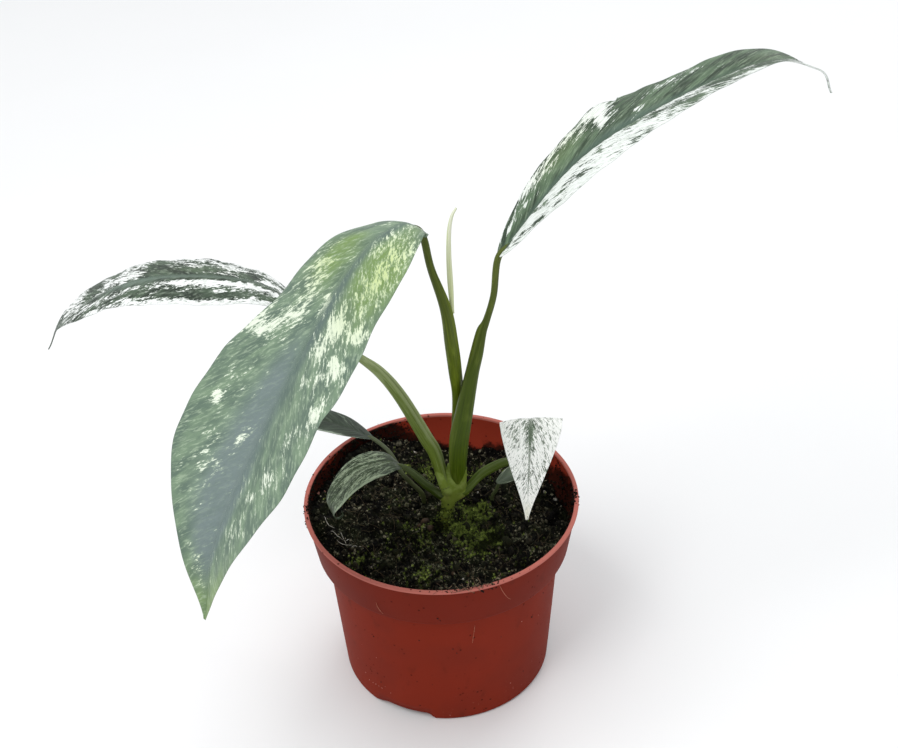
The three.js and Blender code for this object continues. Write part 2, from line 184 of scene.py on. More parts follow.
# The leaves that grow from the stem over the soil. The foot of such a petiole starts in the stem, a drop
# under the petiole's first point, and takes up these shares of the petiole. It is swollen and tapers.
STEM_LEAVES = ("big", "right", "far", "small", "white")
NODE_DROP = 5.0
FOOT_SHARES = (-0.06, 0.15)
FOOT_SWELL = 1.14
FOOT_TAPER = 0.75

# The stem's parts are grown together by voxels of this size and smoothed so many times
STEM_VOXEL = 0.32
STEM_SMOOTHING = 30

# A stalk's rings for each of its spans and its sides, and the angle and spread of the two edges of its sheath
STALK_RINGS = 18
STALK_SIDES = 30
WING_ANGLE = 0.42
WING_SPREAD = 0.18

# How far a petiole runs back into the stem, and the shoot into its sheath
PETIOLE_START = 0.5
SHOOT_START = 1.5

# Petioles, then the new shoot: the side that the sheath's wings face, and points of the centre line with the
# stalk's radius and the height of the wings at each, (x, y, z, radius, wing)
PETIOLES = {
    "big": ((1, 0.3, 0), (
        (5.4, 0.4, 99.5, 2, 0), (7, 3.6, 117, 2, 0.3), (8.4, 2.6, 140, 2.2, 0.4),
        (7.6, -0.6, 156, 2.5, 0.5), (6.5, -3.5, 171, 2.5, 0.6), (4.5, -6.2, 190, 1.9, 0.9),
        (-0.2, -7.8, 210, 1.5, 0), (-2.6, -8.5, 224.1, 1.4, 0),
    )),
    "right": ((-1, 0, 0), (
        (7.9, -5, 100, 2.7, 0), (7.9, -6, 112, 3.4, 0.8), (9, -6, 125, 3.6, 1.2),
        (11.2, -4.5, 138, 3.4, 0.7), (14.7, -2, 155, 2.6, 0.6), (17.3, -0.5, 164, 2, 1.5),
        (19.4, 1.5, 173, 1.5, 1.4), (21, 2.7, 178, 1.4, 0.2), (24, 5, 188.3, 1.35, 0),
        (26, 7.3, 203.7, 1.35, 0),
    )),
    "far": ((0.5, 0, 0.87), (
        (1.9, -7.3, 101, 2.3, 0), (-1.8, -2, 114, 2.6, 0.6), (-5.9, 1, 121, 2.5, 1),
        (-15.8, 9, 136.5, 2.1, 1.4), (-24, 16, 144.5, 1.9, 1), (-34, 23, 150, 1.6, 0),
        (-46.7, 30.5, 160.4, 1.5, 0),
    )),
    "small": ((0, 0, 1), (
        (-0.2, -6.4, 95.4, 1.7, 0.2), (-6.4, -7.2, 102.4, 1.7, 0.4), (-11.4, -6.5, 108.2, 1.5, 0.3),
        (-15.4, -5.3, 110.9, 1.1, 0),
    )),
    "dark": ((0, 0.3, 1), (
        (-7.8, 12, 66, 1, 0), (-7.8, 12, 74, 1, 0), (-8.4, 12, 81, 1, 0), (-13, 13, 86.6, 1, 0),
        (-17, 14, 92, 1, 0), (-22, 22, 97, 0.9, 0), (-29, 29.3, 98.9, 0.9, 0),
    )),
    "white": ((0, 0, 1), (
        (10, -5.6, 96, 1.8, 0.2), (13.6, -4.4, 99.8, 1.8, 0.4), (18, -2, 103, 1.9, 0.5),
        (25, 1, 105, 1.9, 0.4), (31, 4.6, 104.6, 1.6, 0.1), (37.4, 8.6, 107.4, 1.2, 0),
    )),
    "tiny": ((0, 0, 1), (
        (22.2, 11, 66, 0.8, 0), (22.2, 11, 73, 0.8, 0), (22.4, 11, 79, 0.8, 0), (24, 10, 83, 0.8, 0),
        (25.1, 9.5, 86.9, 0.7, 0),
    )),
}
SHOOT = ((1, 0, 0), (
    (7.4, -4.1, 188, 0.7, 0.2), (7, -3.9, 200, 1.05, 0.25), (6.8, -3.5, 212, 0.95, 0.2),
    (7.2, -3, 222, 0.85, 0.1), (8.4, -2.5, 228.6, 0.65, 0), (10.2, -2, 232, 0.4, 0),
))

# How far a petiole runs on under its blade, as shares of the blade's length, and its radius there as a
# share of the petiole's last one
RUN_ON = ((0.05, 0.7), (0.12, 0.4), (0.2, 0.2))

# Blades, by the same law as in the solid model: the midrib leaves the foot along the azimuth and follows
# the arch of (reach, rise) points, with its end swayed to the left, and fold, roll and curl bend the halves.
# Trim is what the right and the left half are wider by than the law, at even places from base to tip.
# A lobe is (start, end, side, extra width) on the right half, -1, or the left one, 1.
# Rows and columns are the cells along and across, and keel is how far the midrib stands out underneath.
# The side veins leave the midrib every spacing and run forward by slant times their way out.
# Waves of the margins are (height, wavelength).
# Paleness is the cover of cream tissue on the right and the left half. Pale and lime are patches that add to
# it or tint the green, the patches of painted sheen paint the sky's reflection as a blue-grey tint, and the
# rib shade darkens the midrib. A patch is (along, across, length, breadth, amount), with along from base to
# tip and across from the right margin, -1, to the left one, 1.
LEAVES = {
    "big": {
        "foot": (-0.8, -8.5, 225), "azimuth": 216.7, "sway": 17.3,
        "arch": ((14.2, 9.2), (43.2, -5.3), (105.4, -71.3), (121.3, -109.3)),
        "width": 82.4, "shape": (1.15, 1.24), "tail": 0,
        "fold": (-6.6, 12.9, 29.6), "roll": (10.5, 11.5, -5), "curl": 9.5,
        "trim": ((0, 0, -6.3, 0, 2.7, -1, 0), (0, 2.2, -2.7, -0.9, 1.7, 1.2, 0)),
        "rows": 210, "columns": 62, "thickness": 0.5, "keel": 1.2, "spacing": 6.5, "slant": 0.85,
        "waves": ((0.5, 46), (0.25, 19)),
        "paleness": (0.14, 0.15),
        "pale": (
            (0.2, 0.6, 0.13, 0.45, 0.34), (0.47, 0.7, 0.05, 0.3, 0.1), (0.37, 0.55, 0.06, 0.45, 0.19),
            (0.34, 0.4, 0.025, 0.2, 0.34), (0.4, 0.3, 0.02, 0.12, 0.36), (0.42, 0.7, 0.025, 0.25, 0.32),
            (0.335, 0.88, 0.015, 0.12, 0.34), (0.46, 0.32, 0.015, 0.1, 0.4), (0.51, 0.86, 0.045, 0.1, 0.4),
            (0.57, 0.6, 0.02, 0.1, 0.3), (0.03, 0.5, 0.04, 0.6, 0.14), (0.04, -0.7, 0.05, 0.35, 0.3),
            (0.66, 0.78, 0.12, 0.22, 0.12), (0.88, 0.3, 0.05, 0.4, 0.1), (0.13, 0.6, 0.05, 0.5, 0.1),
            (0.24, -0.72, 0.05, 0.25, 0.18), (0.65, 0.62, 0.03, 0.16, 0.28), (0.7, 0.5, 0.015, 0.1, 0.4),
            (0.77, 0.55, 0.04, 0.2, 0.26), (0.7, 0.25, 0.03, 0.1, 0.2), (0.27, -0.5, 0.09, 0.4, 0.24),
            (0.33, -0.5, 0.04, 0.3, 0.14), (0.31, -0.05, 0.02, 0.08, 0.34), (0.41, -0.7, 0.03, 0.22, 0.42),
            (0.4, -0.97, 0.06, 0.1, 0.46), (0.37, -0.4, 0.04, 0.25, 0.22), (0.52, -0.62, 0.03, 0.2, 0.2),
            (0.575, -0.7, 0.02, 0.12, 0.46), (0.62, -0.2, 0.03, 0.1, 0.32), (0.68, -0.5, 0.07, 0.16, 0.26),
            (0.9, -0.4, 0.04, 0.35, 0.3),
        ),
        "lime": (
            (0.2, 0.6, 0.14, 0.5, 1.0), (0.2, -0.5, 0.1, 0.4, 0.9), (0.98, 0, 0.1, 2, 0.7),
            (0.88, 0.9, 0.1, 0.25, 0.4), (0.1, -0.5, 0.05, 0.8, -0.5),
        ),
        "painted_sheen": (
            (0.66, -0.14, 0.2, 0.28, 1.0), (0.48, -0.12, 0.1, 0.15, 0.6), (0.77, 0.06, 0.14, 0.25, 0.8),
            (0.82, -0.4, 0.12, 0.35, 0.6),
        ),
        "rib_shade": ((0.32, 0.08, 0.28, 0.11, 0.85),),
    },
    "right": {
        "foot": (26, 7.5, 204.4), "azimuth": 6.5, "sway": -4,
        "arch": ((36, 43), (93, 72), (118.5, 69.5), (125, 59.5)),
        "width": 43, "shape": (0.76, 0.58), "tail": 0.12,
        "fold": (17.4, 9.2, 16.6), "roll": (11.7, -9.3, -15), "curl": 10.4,
        "trim": ((0, -1.7, 2.7, 0.9, -2.1, -1.1, 0), (0, -1, -1.4, 2.5, -1.4, 0.8, 0)),
        "lobes": ((0.34, 0.437, 1, 2.6), (0.437, 0.455, 1, -1.6)),
        "rows": 200, "columns": 52, "thickness": 0.5, "keel": 1.1, "spacing": 5, "slant": 1.5,
        "waves": ((0.2, 27), (0.15, 12)),
        "paleness": (0.72, 0.15),
        "pale": (
            (0.03, -0.15, 0.03, 0.25, -0.6), (0.06, 0.5, 0.06, 0.6, -0.1), (0.1, -0.55, 0.014, 0.2, -0.32),
            (0.15, -0.9, 0.03, 0.16, -0.32), (0.155, -0.12, 0.014, 0.16, -0.34),
            (0.19, -0.38, 0.014, 0.16, -0.32), (0.24, -0.56, 0.025, 0.1, -0.28),
            (0.28, -0.45, 0.03, 0.1, -0.24), (0.32, -0.64, 0.03, 0.1, -0.24),
            (0.37, -0.3, 0.014, 0.2, -0.26), (0.42, -0.5, 0.06, 0.12, -0.2),
            (0.47, -0.12, 0.03, 0.12, -0.36), (0.52, -0.26, 0.022, 0.2, -0.34),
            (0.565, -0.5, 0.022, 0.22, -0.36), (0.61, -0.8, 0.024, 0.24, -0.34),
            (0.5, -0.88, 0.06, 0.1, -0.18), (0.7, -0.5, 0.06, 0.8, -0.38), (0.81, -0.5, 0.06, 0.8, -0.5),
            (0.07, 0.55, 0.03, 0.2, 0.4), (0.14, 0.45, 0.012, 0.1, 0.4), (0.16, 0.9, 0.07, 0.18, 0.5),
            (0.04, 0.9, 0.03, 0.3, 0.4), (0.24, 0.65, 0.12, 0.18, 0.32), (0.3, 0.92, 0.09, 0.16, 0.36),
            (0.41, 0.85, 0.035, 0.3, 0.5), (0.4, 0.42, 0.016, 0.16, 0.5), (0.49, 0.28, 0.02, 0.08, 0.4),
            (0.6, 0.75, 0.08, 0.22, 0.34), (0.7, 0.4, 0.025, 0.12, 0.34), (0.97, 0, 0.05, 2, -0.14),
            (0.75, -0.88, 0.08, 0.2, 0.2), (0.36, 0.6, 0.05, 0.25, 0.12), (0.62, -0.6, 0.12, 0.5, -0.12),
        ),
        "lime": ((0.28, 0.65, 0.1, 0.4, 0.5), (0.8, 0.2, 0.06, 0.4, 0.3)),
        "painted_sheen": ((0.46, 0.1, 0.12, 0.12, 0.5), (0.98, 0, 0.05, 2, 1.0)),
        "rib_shade": ((0.35, 0.05, 0.4, 0.07, 0.7),),
    },
    "far": {
        "foot": (-47.2, 30.7, 160.9), "azimuth": 170.5, "sway": 2,
        "arch": ((27.5, 18.5), (75, 17), (111, -3), (123, -21)),
        "width": 34, "shape": (0.9, 0.8), "tail": 0.06,
        "fold": (-11.5, -2, 12.5), "roll": (1.5, -0.9, -9), "curl": 11,
        "trim": ((0, 0, 0.3, 0, -1.7, -0.2, 0), (0, -0.8, 0.9, 0, -1.3, -0.8, 0)),
        "rows": 180, "columns": 48, "thickness": 0.5, "keel": 1.0, "spacing": 4.5, "slant": 1.2,
        "waves": ((0.35, 30), (0.2, 12)),
        "paleness": (0.54, 0.46),
        "pale": (
            (0.36, 0.96, 0.26, 0.1, 0.4), (0.37, 0.64, 0.18, 0.15, -0.46), (0.31, 0.56, 0.03, 0.07, 0.5),
            (0.42, 0.6, 0.03, 0.06, 0.4), (0.34, 0.26, 0.15, 0.1, 0.5), (0.4, 0.04, 0.2, 0.13, -0.5),
            (0.43, -0.25, 0.1, 0.2, -0.36), (0.42, -0.75, 0.14, 0.25, -0.06),
            (0.53, -0.5, 0.03, 0.5, -0.38), (0.64, -0.35, 0.05, 0.28, 0.12),
            (0.68, -0.75, 0.02, 0.3, -0.3), (0.745, -0.6, 0.03, 0.5, -0.4), (0.83, -0.6, 0.04, 0.5, 0.08),
            (0.6, 0.14, 0.08, 0.16, -0.4), (0.7, 0.15, 0.06, 0.15, -0.2), (0.91, 0, 0.03, 2, -0.5),
            (0.22, 0.6, 0.03, 0.2, 0.2), (0.24, -0.3, 0.03, 0.15, -0.4), (0.98, 0, 0.04, 2, -0.3),
        ),
        "lime": ((0.42, -0.3, 0.15, 0.25, 0.3),),
        "painted_sheen": ((0.6, 0.1, 0.12, 0.2, 0.7), (0.4, 0.02, 0.2, 0.06, 0.7)),
        "rib_shade": ((0.5, 0, 0.4, 0.06, 0.3),),
    },
    "small": {
        "foot": (-16.1, -4.9, 111.2), "azimuth": 200, "sway": 1.6,
        "arch": ((5.9, 4.2), (19.2, 3.1), (30.7, -8.1), (31.2, -15.6), (29.5, -17.8), (27.4, -16.9),
                 (27.6, -14.8)),
        "width": 16.6, "shape": (0.63, 0.69), "tail": 0.15,
        "fold": (0.5, 7.3, 14.7), "roll": (-1.9, -1.1, -3), "curl": 8.3,
        "trim": ((0, 0.7, 0, -0.5, 0, 0), (0, 0.1, 0, -0.6, 0, 0)),
        "rows": 160, "columns": 40, "thickness": 0.45, "keel": 0.7, "spacing": 2.6, "slant": 2.4,
        "waves": ((0.15, 14),),
        "paleness": (0.46, 0.46),
        "pale": ((0.5, 0.95, 0.3, 0.1, 0.4), (0.06, 0, 0.08, 2, -0.3), (0.9, 0, 0.14, 2, -0.4)),
        "lime": ((0.1, 0, 0.12, 1, 0.4),),
        "painted_sheen": ((0.6, 0.9, 0.4, 0.2, 0.8), (0.6, 0, 0.3, 0.5, 0.3)),
        "rib_shade": ((0.3, 0, 0.4, 0.08, 0.3),),
    },
    "dark": {
        "foot": (-29.5, 29.7, 99), "azimuth": 152, "sway": 0,
        "arch": ((14, 1.8), (34, 1), (50, -5), (60, -12)),
        "width": 14.5, "shape": (0.8, 0.8), "tail": 0.05,
        "fold": (5, 8, 10), "roll": (0, 0, 0), "curl": 10,
        "trim": ((0, 0), (0, 0)),
        "rows": 110, "columns": 32, "thickness": 0.45, "keel": 0.7, "spacing": 3, "slant": 2.0,
        "waves": ((0.2, 18),),
        "paleness": (0.2, 0.12),
        "pale": ((0.3, 0.97, 0.4, 0.1, 0.5),),
        "lime": (),
        "painted_sheen": ((0.5, 0.9, 0.5, 0.15, 0.6), (0.3, -0.9, 0.4, 0.2, 0.5)),
        "rib_shade": ((0.4, 0, 0.5, 0.1, 0.3),),
    },
    "white": {
        "foot": (38.4, 9.2, 108.4), "azimuth": 270, "sway": -3.1,
        "arch": ((2.1, 11.8), (8.6, 20.4), (21.5, 13.6), (34, -12.1)),
        "width": 25, "shape": (0.6, 1.33), "tail": 0,
        "fold": (3, 1, 3), "roll": (1, 0.8, -1), "curl": 12,
        "trim": ((0, -0.4, -0.2, -0.2, -0.3, 0), (0, 0, 0.5, 0, -0.1, 0)),
        "rows": 130, "columns": 40, "thickness": 0.45, "keel": 0.7, "spacing": 3.4, "slant": 1.8,
        "waves": ((0.2, 17), (0.12, 7)),
        "paleness": (0.74, 0.74),
        "pale": (
            (0.15, 0.02, 0.16, 0.12, -0.4), (0.75, 0, 0.2, 2, -0.15), (0.46, 0.02, 0.1, 0.13, -0.3),
            (0.42, 0.4, 0.12, 0.45, -0.16), (0.42, -0.4, 0.12, 0.45, -0.16), (0.2, 0, 0.15, 1, -0.1),
            (0.7, 0.02, 0.22, 0.03, -0.4), (0.9, 0, 0.1, 2, 0.1),
        ),
        "lime": ((0.97, 0, 0.07, 1, 0.6),),
        "painted_sheen": ((0.3, 0, 0.05, 2, 0.5),),
        "rib_shade": ((0.5, 0, 0.16, 0.03, 0.6),),
    },
    "tiny": {
        "foot": (24.4, 9.4, 87.7), "azimuth": 28, "sway": 0,
        "arch": ((8, 2), (16, 2), (22, 0)),
        "width": 8, "shape": (0.7, 0.7), "tail": 0,
        "fold": (5, 8, 10), "roll": (0, 0, 0), "curl": 10,
        "trim": ((0, 0), (0, 0)),
        "rows": 70, "columns": 24, "thickness": 0.4, "keel": 0.5, "spacing": 2, "slant": 2.0,
        "waves": ((0.1, 10),),
        "paleness": (0.15, 0.15),
        "pale": ((0.5, 1, 0.5, 0.16, 0.6), (0.5, -1, 0.5, 0.16, 0.6)),
        "lime": (),
        "painted_sheen": ((0.5, 0, 0.5, 1, 0.6),),
        "rib_shade": ((0.4, 0, 0.5, 0.1, 0.3),),
    },
}

# All blades: half the width of the foot, the height of the quilting between the side veins, the channel over
# the midrib, how much of its thickness the margin lacks, the keel's half width for its height, and the
# phases of the waves on the left and the right half
FOOT_HALF_WIDTH = 0.6
QUILT_HEIGHT = 0.13
CHANNEL_DEPTH = 0.35
CHANNEL_HALF_WIDTH = 0.9
MARGIN_THINNING = 0.6
KEEL_HALF_WIDTH = 1.3
WAVE_PHASES = (0.7, 2.3)

# What keeps the noise of the two halves and of the two sides of a blade apart
HAND_OFFSET = 40
UNDERSIDE_OFFSET = 9

# Colours of each blade, as 0 to 255 numbers: green tissue with its dark, light and lime shades and the
# blue-grey of its painted sheen, cream tissue in green and in lime zones, and the midrib's shade
BLADE_COLOURS = {
    "big": (
        (114, 136, 111), (88, 108, 93), (170, 188, 160), (114, 140, 78),
        (110, 124, 123), (222, 230, 212), (190, 206, 144), (82, 100, 96),
    ),
    "right": (
        (90, 112, 86), (42, 58, 42), (140, 158, 132), (108, 130, 82),
        (110, 128, 118), (232, 236, 232), (220, 228, 188), (74, 94, 84),
    ),
    "far": (
        (76, 92, 74), (34, 44, 35), (140, 154, 136), (90, 110, 68),
        (108, 124, 112), (236, 238, 236), (228, 230, 212), (100, 118, 106),
    ),
    "small": (
        (58, 73, 46), (32, 43, 25), (104, 121, 91), (70, 88, 44),
        (112, 126, 108), (166, 180, 150), (152, 170, 128), (80, 94, 68),
    ),
    "dark": (
        (46, 58, 44), (32, 42, 30), (84, 96, 80), (70, 86, 52),
        (76, 88, 76), (146, 160, 142), (140, 158, 130), (56, 68, 52),
    ),
    "white": (
        (98, 116, 92), (54, 68, 52), (170, 184, 164), (204, 200, 168),
        (178, 182, 170), (254, 254, 250), (230, 226, 196), (84, 102, 76),
    ),
    "tiny": (
        (80, 92, 70), (56, 68, 50), (112, 124, 100), (96, 116, 76),
        (98, 110, 88), (160, 170, 146), (140, 158, 130), (92, 108, 92),
    ),
}

# Flecks of each blade: their width and length, the softness of their rims, and how dark the green islands
# in cream tissue are
BLADE_FLECKS = {
    "big": (1.4, 3.2, 0.035, 0.2),
    "right": (1.5, 3.4, 0.012, 1.0),
    "far": (2.4, 1.5, 0.03, 0.9),
    "small": (2.2, 0.8, 0.05, 0.4),
    "dark": (0.8, 3.4, 0.05, 0.2),
    "white": (0.8, 1.0, 0.03, 0.7),
    "tiny": (0.8, 3.0, 0.06, 0.2),
}

# Petiole colours at the foot, at the top and of the pale lines; the far petiole's light foot is a painted
# highlight
PETIOLE_COLOURS = {
    "big": ((88, 104, 10), (74, 84, 24), (126, 142, 38)),
    "right": ((66, 85, 6), (82, 92, 40), (114, 128, 50)),
    "far": ((98, 116, 34), (126, 136, 100), (176, 186, 140)),
    "small": ((50, 66, 14), (88, 98, 62), (124, 138, 96)),
    "dark": ((66, 72, 40), (80, 88, 64), (110, 120, 84)),
    "white": ((74, 92, 22), (74, 88, 36), (122, 136, 90)),
    "tiny": ((76, 84, 50), (92, 104, 70), (120, 132, 92)),
}

# The material slot of each blade
BLADE_SLOTS = {
    "big": "blade_lime", "right": "blade_streaked", "far": "blade_streaked", "small": "blade_grey",
    "dark": "blade_grey", "white": "blade_white", "tiny": "blade_grey",
}


def make_camera():
    data = bpy.data.cameras.new("camera")
    data.lens = CAMERA_LENS
    camera = bpy.data.objects.new("camera", data)
    SCENE.collection.objects.link(camera)
    pitch = math.radians(CAMERA_PITCH)
    back = Vector((0, -math.cos(pitch), math.sin(pitch)))
    turn = Matrix.Rotation(math.pi / 2 - pitch, 4, "X") @ Matrix.Rotation(math.radians(CAMERA_ROLL), 4, "Z")
    place = (Vector(CAMERA_FOCUS) + back * CAMERA_DISTANCE) * MM
    camera.matrix_world = Matrix.Translation(place) @ turn
    SCENE.camera = camera


# Shader helpers

def linear(red, green, blue):
    """A colour of 0 to 255 numbers as the linear colour that shaders take."""
    channels = [value / 255 for value in (red, green, blue)]
    return tuple(c / 12.92 if c <= 0.04045 else ((c + 0.055) / 1.055) ** 2.4 for c in channels) + (1.0,)


class Value:
    """A shader's socket that works in sums like a number."""

    def __init__(self, shader, socket):
        self.shader = shader
        self.socket = socket

    def sum(self, operation, other):
        return self.shader.add("Math", 0, {0: self, 1: other}, operation=operation)

    def __add__(self, other):
        return self.sum("ADD", other)

    def __sub__(self, other):
        return self.sum("SUBTRACT", other)

    def __mul__(self, other):
        return self.sum("MULTIPLY", other)

    def __pow__(self, other):
        return self.sum("POWER", other)

    def step(self, low, high):
        """0 under low, 1 over high and smooth between; with low over high it falls."""
        ends = {"From Min": min(low, high), "From Max": max(low, high),
                "To Min": float(low > high), "To Max": float(low < high)}
        return self.shader.add("MapRange", "Result", {"Value": self, **ends}, interpolation_type="SMOOTHSTEP")

    def spread(self, low, high):
        """A 0 to 1 value spread from low to high."""
        return self.shader.add("MapRange", "Result", {"Value": self, "To Min": low, "To Max": high})

    def mix(self, colour, share):
        """This colour taken towards another one by a share."""
        return self.shader.mix(share, self, colour)


class Shader:
    """A material and short calls that add nodes to it. Colours are given as 0 to 255 numbers."""

    def __init__(self, name):
        self.material = bpy.data.materials.new(name)
        self.material.use_nodes = True
        self.tree = self.material.node_tree
        self.surface = self.tree.nodes["Principled BSDF"]

    def put(self, socket, value):
        if isinstance(value, Value):
            self.tree.links.new(value.socket, socket)
        else:
            socket.default_value = value

    def add(self, kind, output, inputs, **settings):
        """One output of a new node with the given settings and inputs."""
        node = self.tree.nodes.new("ShaderNode" + kind)
        for name, value in settings.items():
            setattr(node, name, value)
        for name, value in inputs.items():
            self.put(node.inputs[name], value)
        return Value(self, node.outputs[output])

    def attribute(self, name, output="Fac"):
        return self.add("Attribute", output, {}, attribute_name=name)

    def place(self):
        return self.add("TexCoord", "Object", {})

    def height(self, place):
        return self.add("SeparateXYZ", "Z", {0: place})

    def noise(self, place, scale, detail=3.0, roughness=0.55, distortion=0.0):
        """Noise over places, with one scale or a scale along each axis."""
        if isinstance(scale, tuple):
            place, scale = self.add("VectorMath", 0, {0: place, 1: scale}, operation="MULTIPLY"), 1.0
        return self.add("TexNoise", "Fac", {"Vector": place, "Scale": scale, "Detail": detail,
                                            "Roughness": roughness, "Distortion": distortion})

    def spots(self, place, scale):
        """Distance to the nearest of scattered points."""
        return self.add("TexVoronoi", "Distance", {"Vector": place, "Scale": scale})

    def mix(self, share, first, second):
        first, second = (linear(*side) if isinstance(side, tuple) else side for side in (first, second))
        return self.add("Mix", "Result", {"Factor": share, "A": first, "B": second}, data_type="RGBA")

    def bump(self, height, distance, strength, below=None):
        """Relief from a height, over the relief below it if there is one."""
        under = {"Normal": below} if below else {}
        return self.add("Bump", "Normal", {"Height": height, "Distance": distance, "Strength": strength,
                                           **under})

    def finish(self, colour, roughness, specular, normal=None):
        """Connects the surface and gives its material."""
        inputs = {"Base Color": colour, "Roughness": roughness, "Specular IOR Level": specular}
        if normal:
            inputs["Normal"] = normal
        for name, value in inputs.items():
            self.put(self.surface.inputs[name], value)
        return self.material


# Materials

def blade_material(name):
    """Variegated blade: mottled green, with cream flecks drawn out along the side veins."""
    green, dark, light, lime, sheen_colour, pale, cream, rib = BLADE_COLOURS[name]
    wide, long, soft, islands = BLADE_FLECKS[name]
    shader = Shader(f"{name}_blade")
    vein = shader.attribute("vein", "Vector")
    coarse = shader.noise(vein, (0.25 / wide, 0.4 / long, 1), 2)
    fine = shader.noise(vein, (1 / wide, 1 / long, 1.7), 5, 0.62, 0.5)
    grain = shader.noise(vein, (2.4 / wide, 3.0 / long, 3.1), 3, 0.65)
    cloud = shader.noise(vein, (1 / 8, 1 / 11, 1))
    paleness, limeness, painted_sheen = (shader.attribute(zone) for zone in ("pale", "lime", "painted_sheen"))
    uneven = cloud.spread(0.4, 1.5)

    # Green tissue: lime zones, blue-grey zones of painted sheen that stand in for the sky's reflection,
    # a dark band along the midrib, all finely mottled
    tissue = shader.mix(cloud.step(0.38, 0.66), dark, green)
    tissue = tissue.mix(lime, (limeness * uneven).step(0.05, 0.95))
    tissue = tissue.mix(sheen_colour, (painted_sheen * uneven).step(0.0, 1.1))
    tissue = tissue.mix(dark, grain.step(0.5, 0.68) * 0.35)
    tissue = tissue.mix(light, fine.step(0.48, 0.66) * (painted_sheen * -0.35 + 0.5))
    tissue = tissue.mix(rib, shader.attribute("rib_shade"))
    island = paleness.step(0.4, 0.75) * islands
    tissue = tissue.mix(dark, island)

    # Cream tissue: flecks with a soft pale rim, denser where the blade is paler
    edge = coarse * 0.34 + fine * 0.52 + grain * 0.36 + paleness * 0.42 - 0.82
    flecks = shader.mix(limeness, pale, cream).mix(light, fine.step(0.56, 0.4) * 0.35)
    rim = edge.step(-1.6 * soft, 0.2 * soft) * (island * -0.5 + 0.5)
    colour = tissue.mix(light, rim).mix(flecks, edge.step(-0.4 * soft, soft))

    # Surface: fine lengthwise cells under a satin wax
    relief = shader.bump(grain, 0.00008, 0.5, shader.bump(fine, 0.00018, 0.5))
    return shader.finish(colour, grain.spread(0.36, 0.5), 0.32, relief)


def petiole_material(name, low, high, stripe):
    """Green stalk that goes from one colour at its foot to another at its top, with pale lines along it."""
    shader = Shader(name)
    place = shader.attribute("stalk", "Vector")
    lines = shader.noise(place, (2.6, 2.6, 0.05), 4)
    cloud = shader.noise(place, (0.35, 0.35, 0.09))
    colour = shader.mix(shader.attribute("along").step(0.1, 0.8), low, high)
    colour = colour.mix((44, 54, 14), lines.step(0.5, 0.36) * 0.4)
    colour = colour.mix(stripe, cloud.step(0.5, 0.75) * 0.35)
    colour = colour.mix(stripe, lines.step(0.56, 0.7) * 0.35)
    colour = colour.mix(stripe, shader.attribute("wing") * 0.7)
    return shader.finish(colour, lines.spread(0.38, 0.52), 0.16, shader.bump(lines, 0.00025, 0.45))


def stem_material():
    """Green stem, painted light to make up for the shade of the leaves over it and lightest where the
    petioles leave it, with a mossy, brown foot.
    """
    shader = Shader("stem")
    place = shader.place()
    grain = shader.noise(place, 900, 5)
    cloud = shader.noise(place, 260)
    height = shader.height(place) + cloud * 0.01
    # Painted light: the green is lifted against the shade of the leaves over it, most where the petioles
    # leave it
    colour = shader.mix(cloud.step(0.4, 0.62), (112, 131, 46), (131, 149, 73))
    colour = colour.mix((112, 128, 48), height.step(0.108, 0.097))
    colour = colour.mix((88, 98, 36), height.step(0.09, 0.083))
    scar = cloud.step(0.56, 0.66) * height.step(0.107, 0.098)
    colour = colour.mix((112, 84, 48), scar * 0.3)
    return shader.finish(colour, grain.spread(0.5, 0.72), 0.16, shader.bump(grain, 0.0004, 0.6))


def shoot_material():
    """Pale young sheath with a greener line along it."""
    shader = Shader("new_shoot")
    lines = shader.noise(shader.attribute("stalk", "Vector"), (1.3, 1.3, 0.04))
    colour = shader.mix(shader.attribute("along").step(0.1, 0.8), (212, 218, 172), (226, 228, 208))
    colour = colour.mix((190, 202, 142), lines.step(0.52, 0.66))
    return shader.finish(colour, lines.spread(0.4, 0.55), 0.3, shader.bump(lines, 0.0002, 0.5))


def pot_material():
    """Moulded plastic with faint flow lines, dirt near the soil and pale scuffs at the foot, with a painted
    highlight on the lip, painted shade over the collar and painted light on the inside wall.
    """
    shader = Shader("pot_plastic")
    place = shader.place()
    height = shader.height(place)
    flow = shader.noise(place, (26, 26, 3.5), 4)
    cloud = shader.noise(place, 38)
    grain = shader.noise(place, 2600, 2)
    inside = shader.attribute("inside")
    colour = shader.mix(flow.spread(0.1, 0.9), (117, 36, 20), (132, 45, 30))
    colour = colour.mix((113, 39, 27), cloud.step(0.4, 0.7) * 0.6)
    # Painted shade: from the step up, the collar is painted darker than the body
    colour = colour.mix((80, 18, 9), height.step((BODY_TOP - 0.1) * MM, (COLLAR_FOOT + 0.1) * MM) * 0.35)
    # Painted light: the inside wall is painted lighter than the outside, to make up for its shade
    colour = colour.mix((150, 54, 37), inside)
    smudge = shader.noise(place, (160, 160, 90), 4).step(0.58, 0.76)
    colour = colour.mix((84, 30, 18), smudge * 0.4)

    # Painted highlight: the lip is painted pale pink where it catches the light
    lip = height.step((LIP_UNDERSIDE - 0.1) * MM, (LIP_UNDERSIDE + 0.5) * MM)
    colour = colour.mix((192, 114, 103), lip * flow.spread(0.7, 1.0))

    # Pale scuffs near the foot
    scuff = shader.noise(place, 520, 5, 0.7).step(0.62, 0.72) * height.step(0.03, 0.008)
    colour = colour.mix((178, 112, 100), scuff * cloud.step(0.46, 0.62) * 0.5)

    # Small dark specks of peat
    speck = shader.spots(place, 330).step(0.2, 0.12) * shader.noise(place, 62).step(0.5, 0.6) * 0.8
    colour = colour.mix((56, 20, 12), speck)

    # Soil clings to the inside, up to a level that goes up and down round the pot
    above = height + shader.noise(place, 190, 5, 0.7) * 0.016 - 0.008 - shader.attribute("soil_line")
    colour = colour.mix((28, 17, 12), inside * above.step(0.002, -0.0015) * 0.9)

    relief = shader.bump(flow, 0.0008, 0.25, shader.bump(grain, 0.00006, 0.35))
    return shader.finish(colour, grain.spread(0.5, 0.6) + speck * 0.3, 0.03, relief)


